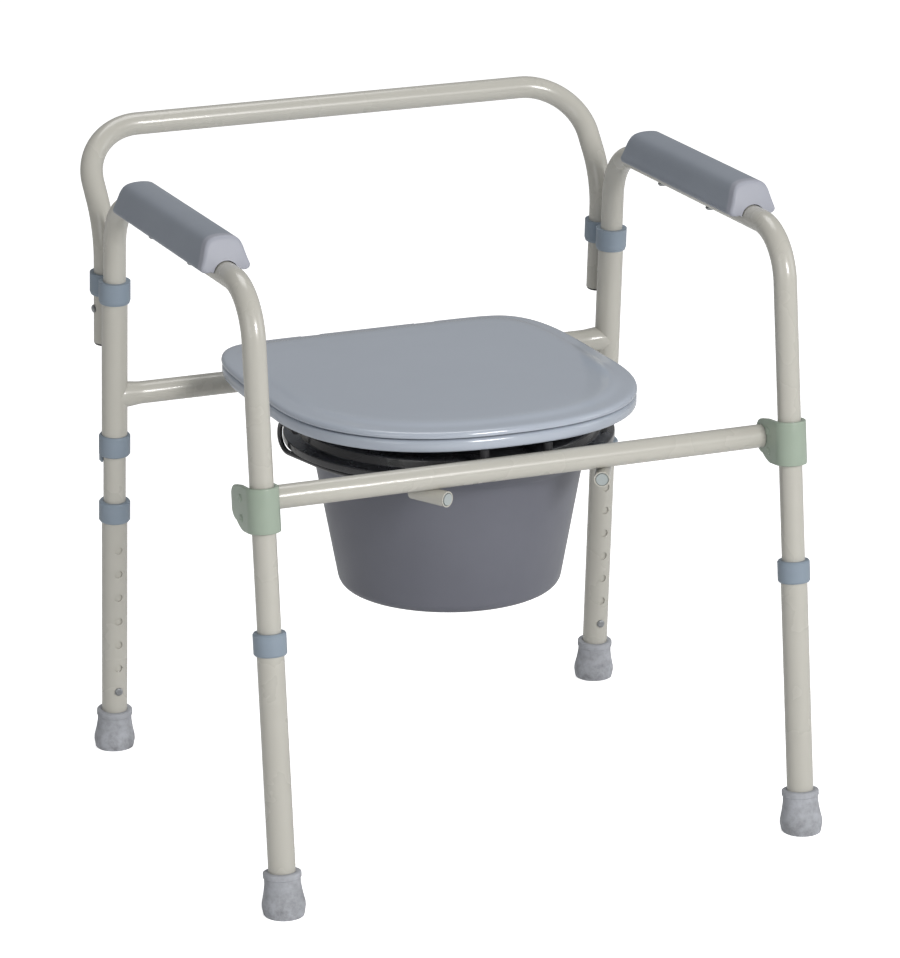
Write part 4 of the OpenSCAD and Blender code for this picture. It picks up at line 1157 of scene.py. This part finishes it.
@dataclass
class Carrier:
    """The black wire that carries the pail."""

    plan: Plan = PLAN
    wire_r: float = 2.5
    below_lip: float = 4.3
    within_lip: float = 5.0
    socket_x: float = 78.0
    socket_forward: float = 12.5
    tail: float = 10.0
    hook_x: float = 34.0
    hook_play: float = 0.4
    hook_bend: float = 4.0
    hook_end: float = 2.4
    loop_front: float = 30.0
    loop_rear: float = 13.0
    soft_sleeve: float = 2.4
    seat_gap: float = 0.3
    tight: float = 0.05
    sides: int = 20

    @property
    def ring_z(self) -> float:
        """Height of the ring."""
        return self.plan.lip_z - self.below_lip - self.wire_r

    @property
    def ring_r(self) -> float:
        """Centre-line radius of the ring."""
        return self.plan.lip_r - self.within_lip

    def ring_path(self) -> Array:
        """Runs from one socket along a tangent to the ring, round it, and along the other tangent.

        Where a tangent from a point at distance d touches the ring, the radius makes the angle acos(r / d)
        with the line from the centre to that point.
        """
        p = self.plan
        socket = np.array([self.socket_x, p.front_bar[0] - self.socket_forward])
        reach = socket - np.array([0.0, p.pail_y])
        far = float(np.linalg.norm(reach))
        turn = math.atan2(-reach[1], reach[0]) - math.acos(self.ring_r / far)
        heading = np.array([math.sin(turn), math.cos(turn)])
        tail = socket + heading * self.tail
        a = np.linspace(-turn, math.pi + turn, 97)
        arc = np.column_stack([self.ring_r * np.cos(a), p.pail_y + self.ring_r * np.sin(a)])
        flat = np.vstack([tail, arc, tail * [-1, 1]])
        return np.column_stack([flat, np.full(len(flat), self.ring_z)])

    def hook_path(self, side: Side) -> Array:
        """Runs from the ring to the rear cross tube and over it."""
        p, x = self.plan, side.value * self.hook_x
        y0 = p.pail_y + math.sqrt(self.ring_r**2 - self.hook_x**2)
        r = p.tube_r + self.wire_r + self.hook_play
        y1, y2, top = p.rear_bar_y - r, p.rear_bar_y + r, p.rear_bar_z + r
        end = (x, y2, p.rear_bar_z + self.hook_end)
        corners = [(x, y0, self.ring_z), (x, y1, self.ring_z), (x, y1, top), (x, y2, top), end]
        return rounded_path(corners, (self.hook_bend, r - 0.02, r * 0.8), 12)

    def loop_path(self, side: Side) -> Array:
        """Runs off the ring and back in an upright loop to the seat's underside."""
        p = self.plan
        x = p.lip_r + self.wire_r * 2
        y0, y1 = p.pail_y - self.loop_front, p.pail_y + self.loop_rear
        top = p.seat_z - self.seat_gap - self.wire_r - self.soft_sleeve
        r = (top - self.ring_z) / 2
        x0 = math.sqrt(self.ring_r**2 - self.loop_front**2)
        bend, end = (x, y1 + r, self.ring_z), (x, y1 - self.loop_front, top)
        corners = [(x0, y0, self.ring_z), bend, (x, y1 + r, top), end]
        return rounded_path(corners, (r - self.tight, r - self.tight), 16) * [side.value, 1, 1]

    def wire(self, name: str, path: Array, across: Sequence[float]) -> Mesh:
        """Makes one length of wire along a path."""
        return shell_mesh(name, tube_rings(path, self.wire_r, across, self.sides))

    def build(self, wardrobe: Wardrobe) -> None:
        """Makes the ring, hooks and loops as one piece of wire work."""
        parts = [self.wire("ring", self.ring_path(), (0, 0, 1))]
        for side in Side:
            parts.append(self.wire("hook", self.hook_path(side), (1, 0, 0)))
            parts.append(self.wire("loop", self.loop_path(side), (1, 0, 0.02)))
        wardrobe.piece(joined_mesh("carrier_wire", parts), "rear_frame", Slot.WIRE, ("pail_carrier",))


# ---- Arm pads and tips ---------------------------------------------------------------------------


@dataclass
class ArmPads:
    """The arm pads over the side tubes: flat rounded top, sides that slope out and hollow to small feet."""

    plan: Plan = PLAN
    length: float = 252.0
    mid_y: float = -17.4
    width: float = 48.0
    top: float = 33.5
    sit: float = 1.4
    groove_gap: float = 0.9
    rim: float = 4.0
    foot_soft: float = 0.35
    front_run: float = 34.0
    front_lean: float = 8.0
    rear_run: float = 40.0
    rear_lean: float = 11.5
    lean_power: float = 1.6
    groove_inset: float = 0.6
    across_steps: int = 84
    half_section: tuple[Span, ...] = (
        (0.38, 0.0), (0.43, 0.01), (0.475, 0.045), (0.5, 0.11), (0.497, 0.17), (0.478, 0.25), (0.455, 0.34),
        (0.434, 0.44), (0.412, 0.55), (0.387, 0.68), (0.355, 0.79), (0.315, 0.875), (0.26, 0.935),
        (0.18, 0.975), (0.08, 0.996),
    )

    def section(self, steps: int) -> Array:
        """Returns the section from foot to foot, as shares of width and rise.

        The given points, mirrored, are joined by Catmull-Rom curves: between p1 and p2 at share u,
        (2 p1 + (p2 - p0) u + (2 p0 - 5 p1 + 4 p2 - p3) u^2 + (3 p1 - p0 - 3 p2 + p3) u^3) / 2.
        """
        right = np.asarray(self.half_section)
        pts = np.vstack([right, [[0.0, 1.0]], right[::-1] * [-1, 1]])
        ends = np.vstack([2 * pts[:1] - pts[1:2], pts, 2 * pts[-1:] - pts[-2:-1]])
        at = np.linspace(0, len(pts) - 1, steps + 1)
        k = np.minimum(at.astype(int), len(pts) - 2)
        u = (at - k)[:, None]
        p0, p1, p2, p3 = ends[k], ends[k + 1], ends[k + 2], ends[k + 3]
        square, cube = 2 * p0 - 5 * p1 + 4 * p2 - p3, 3 * p1 - p0 - 3 * p2 + p3
        out = (2 * p1 + (p2 - p0) * u + square * u**2 + cube * u**3) / 2
        return np.clip(out, [-0.5, 0.0], [0.5, 1.0])

    def mesh(self, side: Side) -> Mesh:
        """Lofts a pad.

        Across, u runs over the section and, below it, the groove's arc over the tube. Along, v runs down the
        outside, across the end face, back through the groove and across the other end. The section is drawn
        in by a quarter round at each end. Within a run of each end the surface leans towards the middle, by
        the end's lean times the square of the share of that run times a power of the share of the height.
        """
        p, n = self.plan, self.across_steps
        half, rise = self.length / 2, self.top - self.sit
        groove_r = p.tube_r + self.groove_gap
        foot = math.asin(self.sit / groove_r)
        g = np.linspace(foot, math.pi - foot, n + 1)
        groove = np.column_stack([groove_r * np.cos(g), groove_r * np.sin(g)])
        q = np.linspace(0, math.pi / 2, 8)
        inset, along = self.rim * (1 - np.sin(q)), self.rim * (1 - np.cos(q))
        straight = np.linspace(self.rim - half, half - self.rim, 26)[1:-1]
        ys = np.concatenate([along - half, straight, half - along[::-1]])
        insets = np.concatenate([inset, np.zeros(len(straight)), inset[::-1]])[:, None]
        x, z = self.section(n).T
        ox = x * (self.width - 2 * insets)
        oz = z * (rise - insets) + self.foot_soft * insets * (1 - z)
        front = np.clip((self.front_run - half - ys) / self.front_run, 0, 1)[:, None] ** 2
        rear = np.clip((ys - half + self.rear_run) / self.rear_run, 0, 1)[:, None] ** 2
        lift = (oz / rise) ** self.lean_power
        oy = self.mid_y + ys[:, None] + self.front_lean * front * lift - self.rear_lean * rear * lift
        outer = np.stack([ox, oy, p.arm_z + self.sit + oz], axis=-1)
        gy = self.mid_y + np.array([half - self.groove_inset, self.groove_inset - half])
        flat = np.ones((2, n + 1))
        gx, gz = groove[:, 0] * flat, (p.arm_z + groove[:, 1]) * flat
        inner = np.stack([gx, gy[:, None] * flat, gz], axis=-1)
        grid = np.concatenate([outer, inner]).transpose(1, 0, 2)
        grid[..., 0] += side.value * p.half_span
        return shell_mesh(f"arm_pad_shell_{side.word}", grid, sharp_deg=38)

    def build(self, wardrobe: Wardrobe) -> None:
        """Makes both pads."""
        for side in Side:
            wardrobe.piece(self.mesh(side), f"side_{side.word}", Slot.ARM_PAD, (f"arm_pad_{side.word}",))


@dataclass
class LegTips:
    """The flared rubber tips, with a bead at the rim and a flat sole on the floor."""

    plan: Plan = PLAN
    height: float = 41.0
    foot: float = 6.0
    wide_r: float = 20.5
    rim_r: float = 17.0
    bore_play: float = 0.05
    floor_play: float = 0.2

    def mesh(self, side: Side, row: Row) -> Mesh:
        """Turns the tip's profile in the leg's place, and lays what is under the floor flat on it."""
        r, rt, h = self.wide_r, self.rim_r, self.height
        bore, floor = self.plan.sleeve_r + self.bore_play, self.foot + self.floor_play
        sole = [(POLE, -4), (r - 2.2, -4), (r - 1.4, 1.0), (r - 0.1, 8), (r - 0.3, 12)]
        neck = [(rt + 1.4, 20), (rt, 29), (rt - 0.1, h - 6.5)]
        bead = [(rt + 0.8, h - 5.5), (rt + 0.8, h - 0.8), (rt - 1, h)]
        inside = [(bore, h), (bore, floor), (POLE, floor)]
        radii = [0.8, 3.0, 4.0, 3.0, 6.0, 8.0, 0.6, 0.6, 0.9, 0.6, 0.6, 0.6]
        rings = lathe_rings(soft_profile(sole + neck + bead + inside, radii, 5), 72)
        world = self.plan.leg(side, row).of(rings)
        world[..., 2] = np.maximum(world[..., 2], 0.0)
        return shell_mesh(f"tip_shell_{row.value}_{side.word}", world, sharp_deg=45)

    def build(self, wardrobe: Wardrobe) -> None:
        """Makes the four tips."""
        for row in Row:
            for side in Side:
                key = f"{row.value}_{side.word}"
                wardrobe.piece(self.mesh(side, row), f"leg_{key}", Slot.TIP_RUBBER, (f"leg_tip_{key}",))


# ---- Studio --------------------------------------------------------------------------------------


@dataclass(frozen=True)
class Lamp:
    """A square soft lamp: its place and edge in metres, its power in watts and its tint."""

    name: str
    place: tuple[float, float, float]
    size: float
    power: float
    tint: Colour


LAMPS = (
    Lamp("key", (0.9, -4.2, 2.15), 1.2, 122.0, (1.0, 0.99, 0.98)),
    Lamp("fill", (-3.0, -2.2, 1.6), 2.0, 18.0, (0.98, 0.99, 1.0)),
    Lamp("side", (3.2, -1.4, 1.3), 1.8, 15.0, (0.95, 0.98, 1.0)),
    Lamp("top", (0.3, 0.9, 3.4), 1.6, 28.0, (1.0, 1.0, 1.0)),
)


@dataclass
class Studio:
    """Floor, light and camera."""

    aim: tuple[float, float, float] = (14.2, 4.45, 306.7)
    azimuth: float = -22.57
    elevation: float = 17.10
    roll: float = -0.288
    distance: float = 4515.0
    lens: float = 174.66
    sensor: float = 36.0
    clip_m: Span = (0.05, 60.0)
    lamps_face_m: tuple[float, float, float] = (0.0, 0.0, 0.4)
    white: tuple[float, float, float, float] = (1.0, 1.0, 1.0, 1.0)
    world_level: float = 0.285
    floor_half_m: float = 12.0
    floor_tone: float = 0.86
    floor_rough: float = 0.9
    floor_lift: float = 0.74

    def camera(self) -> None:
        """Puts the camera on its line of sight to the aim, and rolls it a little about that line.

        The line runs back from the aim along (sin a cos e, -cos a cos e, sin e), a the azimuth and e the
        elevation.
        """
        a, e = math.radians(self.azimuth), math.radians(self.elevation)
        back = Vector((math.sin(a) * math.cos(e), -math.cos(a) * math.cos(e), math.sin(e)))
        data = bpy.data.cameras.new("camera")
        data.lens = self.lens
        data.sensor_width = self.sensor
        data.clip_start, data.clip_end = self.clip_m
        cam = bpy.data.objects.new("camera", data)
        cam.location = Vector(self.aim) * MM + back * self.distance * MM
        cam.rotation_mode = "QUATERNION"
        look = (-back).to_track_quat("-Z", "Y")
        cam.rotation_quaternion = look @ Quaternion((0.0, 0.0, 1.0), math.radians(self.roll))
        bpy.context.scene.collection.objects.link(cam)
        bpy.context.scene.camera = cam

    def lamp(self, lamp: Lamp) -> None:
        """Adds a lamp that faces the seat."""
        data = bpy.data.lights.new(lamp.name, "AREA")
        data.shape = "SQUARE"
        data.size = lamp.size
        data.energy = lamp.power
        data.color = lamp.tint
        obj = bpy.data.objects.new(lamp.name, data)
        obj.location = lamp.place
        obj.rotation_mode = "QUATERNION"
        ray = Vector(self.lamps_face_m) - Vector(lamp.place)
        obj.rotation_quaternion = ray.to_track_quat("-Z", "Y")
        bpy.context.scene.collection.objects.link(obj)

    def world(self) -> None:
        """Lights evenly all round, and shows plain white to the camera."""
        world = bpy.data.worlds.new("studio")
        bpy.context.scene.world = world
        world.use_nodes = True
        tree = world.node_tree
        background = tree.nodes["Background"]
        background.inputs["Color"].default_value = self.white
        path = tree.nodes.new("ShaderNodeLightPath")
        strength = tree.nodes.new("ShaderNodeMix")
        strength.data_type = "FLOAT"
        strength.inputs["A"].default_value = self.world_level
        strength.inputs["B"].default_value = 1.0
        tree.links.new(path.outputs["Is Camera Ray"], strength.inputs["Factor"])
        tree.links.new(strength.outputs["Result"], background.inputs["Strength"])

    def floor(self) -> None:
        """Lays a pale floor that looks white to the camera but keeps the shadow."""
        mesh = bpy.data.meshes.new("floor")
        s = self.floor_half_m
        mesh.from_pydata([(-s, -s, 0), (s, -s, 0), (s, s, 0), (-s, s, 0)], [], [(0, 1, 2, 3)])
        obj = bpy.data.objects.new("floor", mesh)
        bpy.context.scene.collection.objects.link(obj)
        n = Nodes("floor_white")
        tone = (self.floor_tone, self.floor_tone, self.floor_tone, 1.0)
        n.set(Base_Color=tone, Roughness=self.floor_rough, Specular_IOR_Level=0.0, Emission_Color=self.white)
        seen = n.node("LightPath", {}).outputs["Is Camera Ray"]
        n.link(n.product(seen, self.floor_lift), "Emission Strength")
        mesh.materials.append(n.material)

    def build(self) -> None:
        """Sets up the whole studio."""
        bpy.context.scene.view_settings.view_transform = "Standard"
        self.world()
        self.floor()
        for lamp in LAMPS:
            self.lamp(lamp)
        self.camera()


# ---- Main ----------------------------------------------------------------------------------------


def main() -> None:
    """Builds the pieces in order, then the studio."""
    wardrobe = Wardrobe()
    wardrobe.dress_nodes()
    for part in (SideFrames, BackRest, RearBar, Brackets, SeatAndLid, Pail, Carrier, ArmPads, LegTips):
        part().build(wardrobe)
        log.info("built %s", part.__name__)
    Studio().build()


if __name__ == "__main__":
    main()
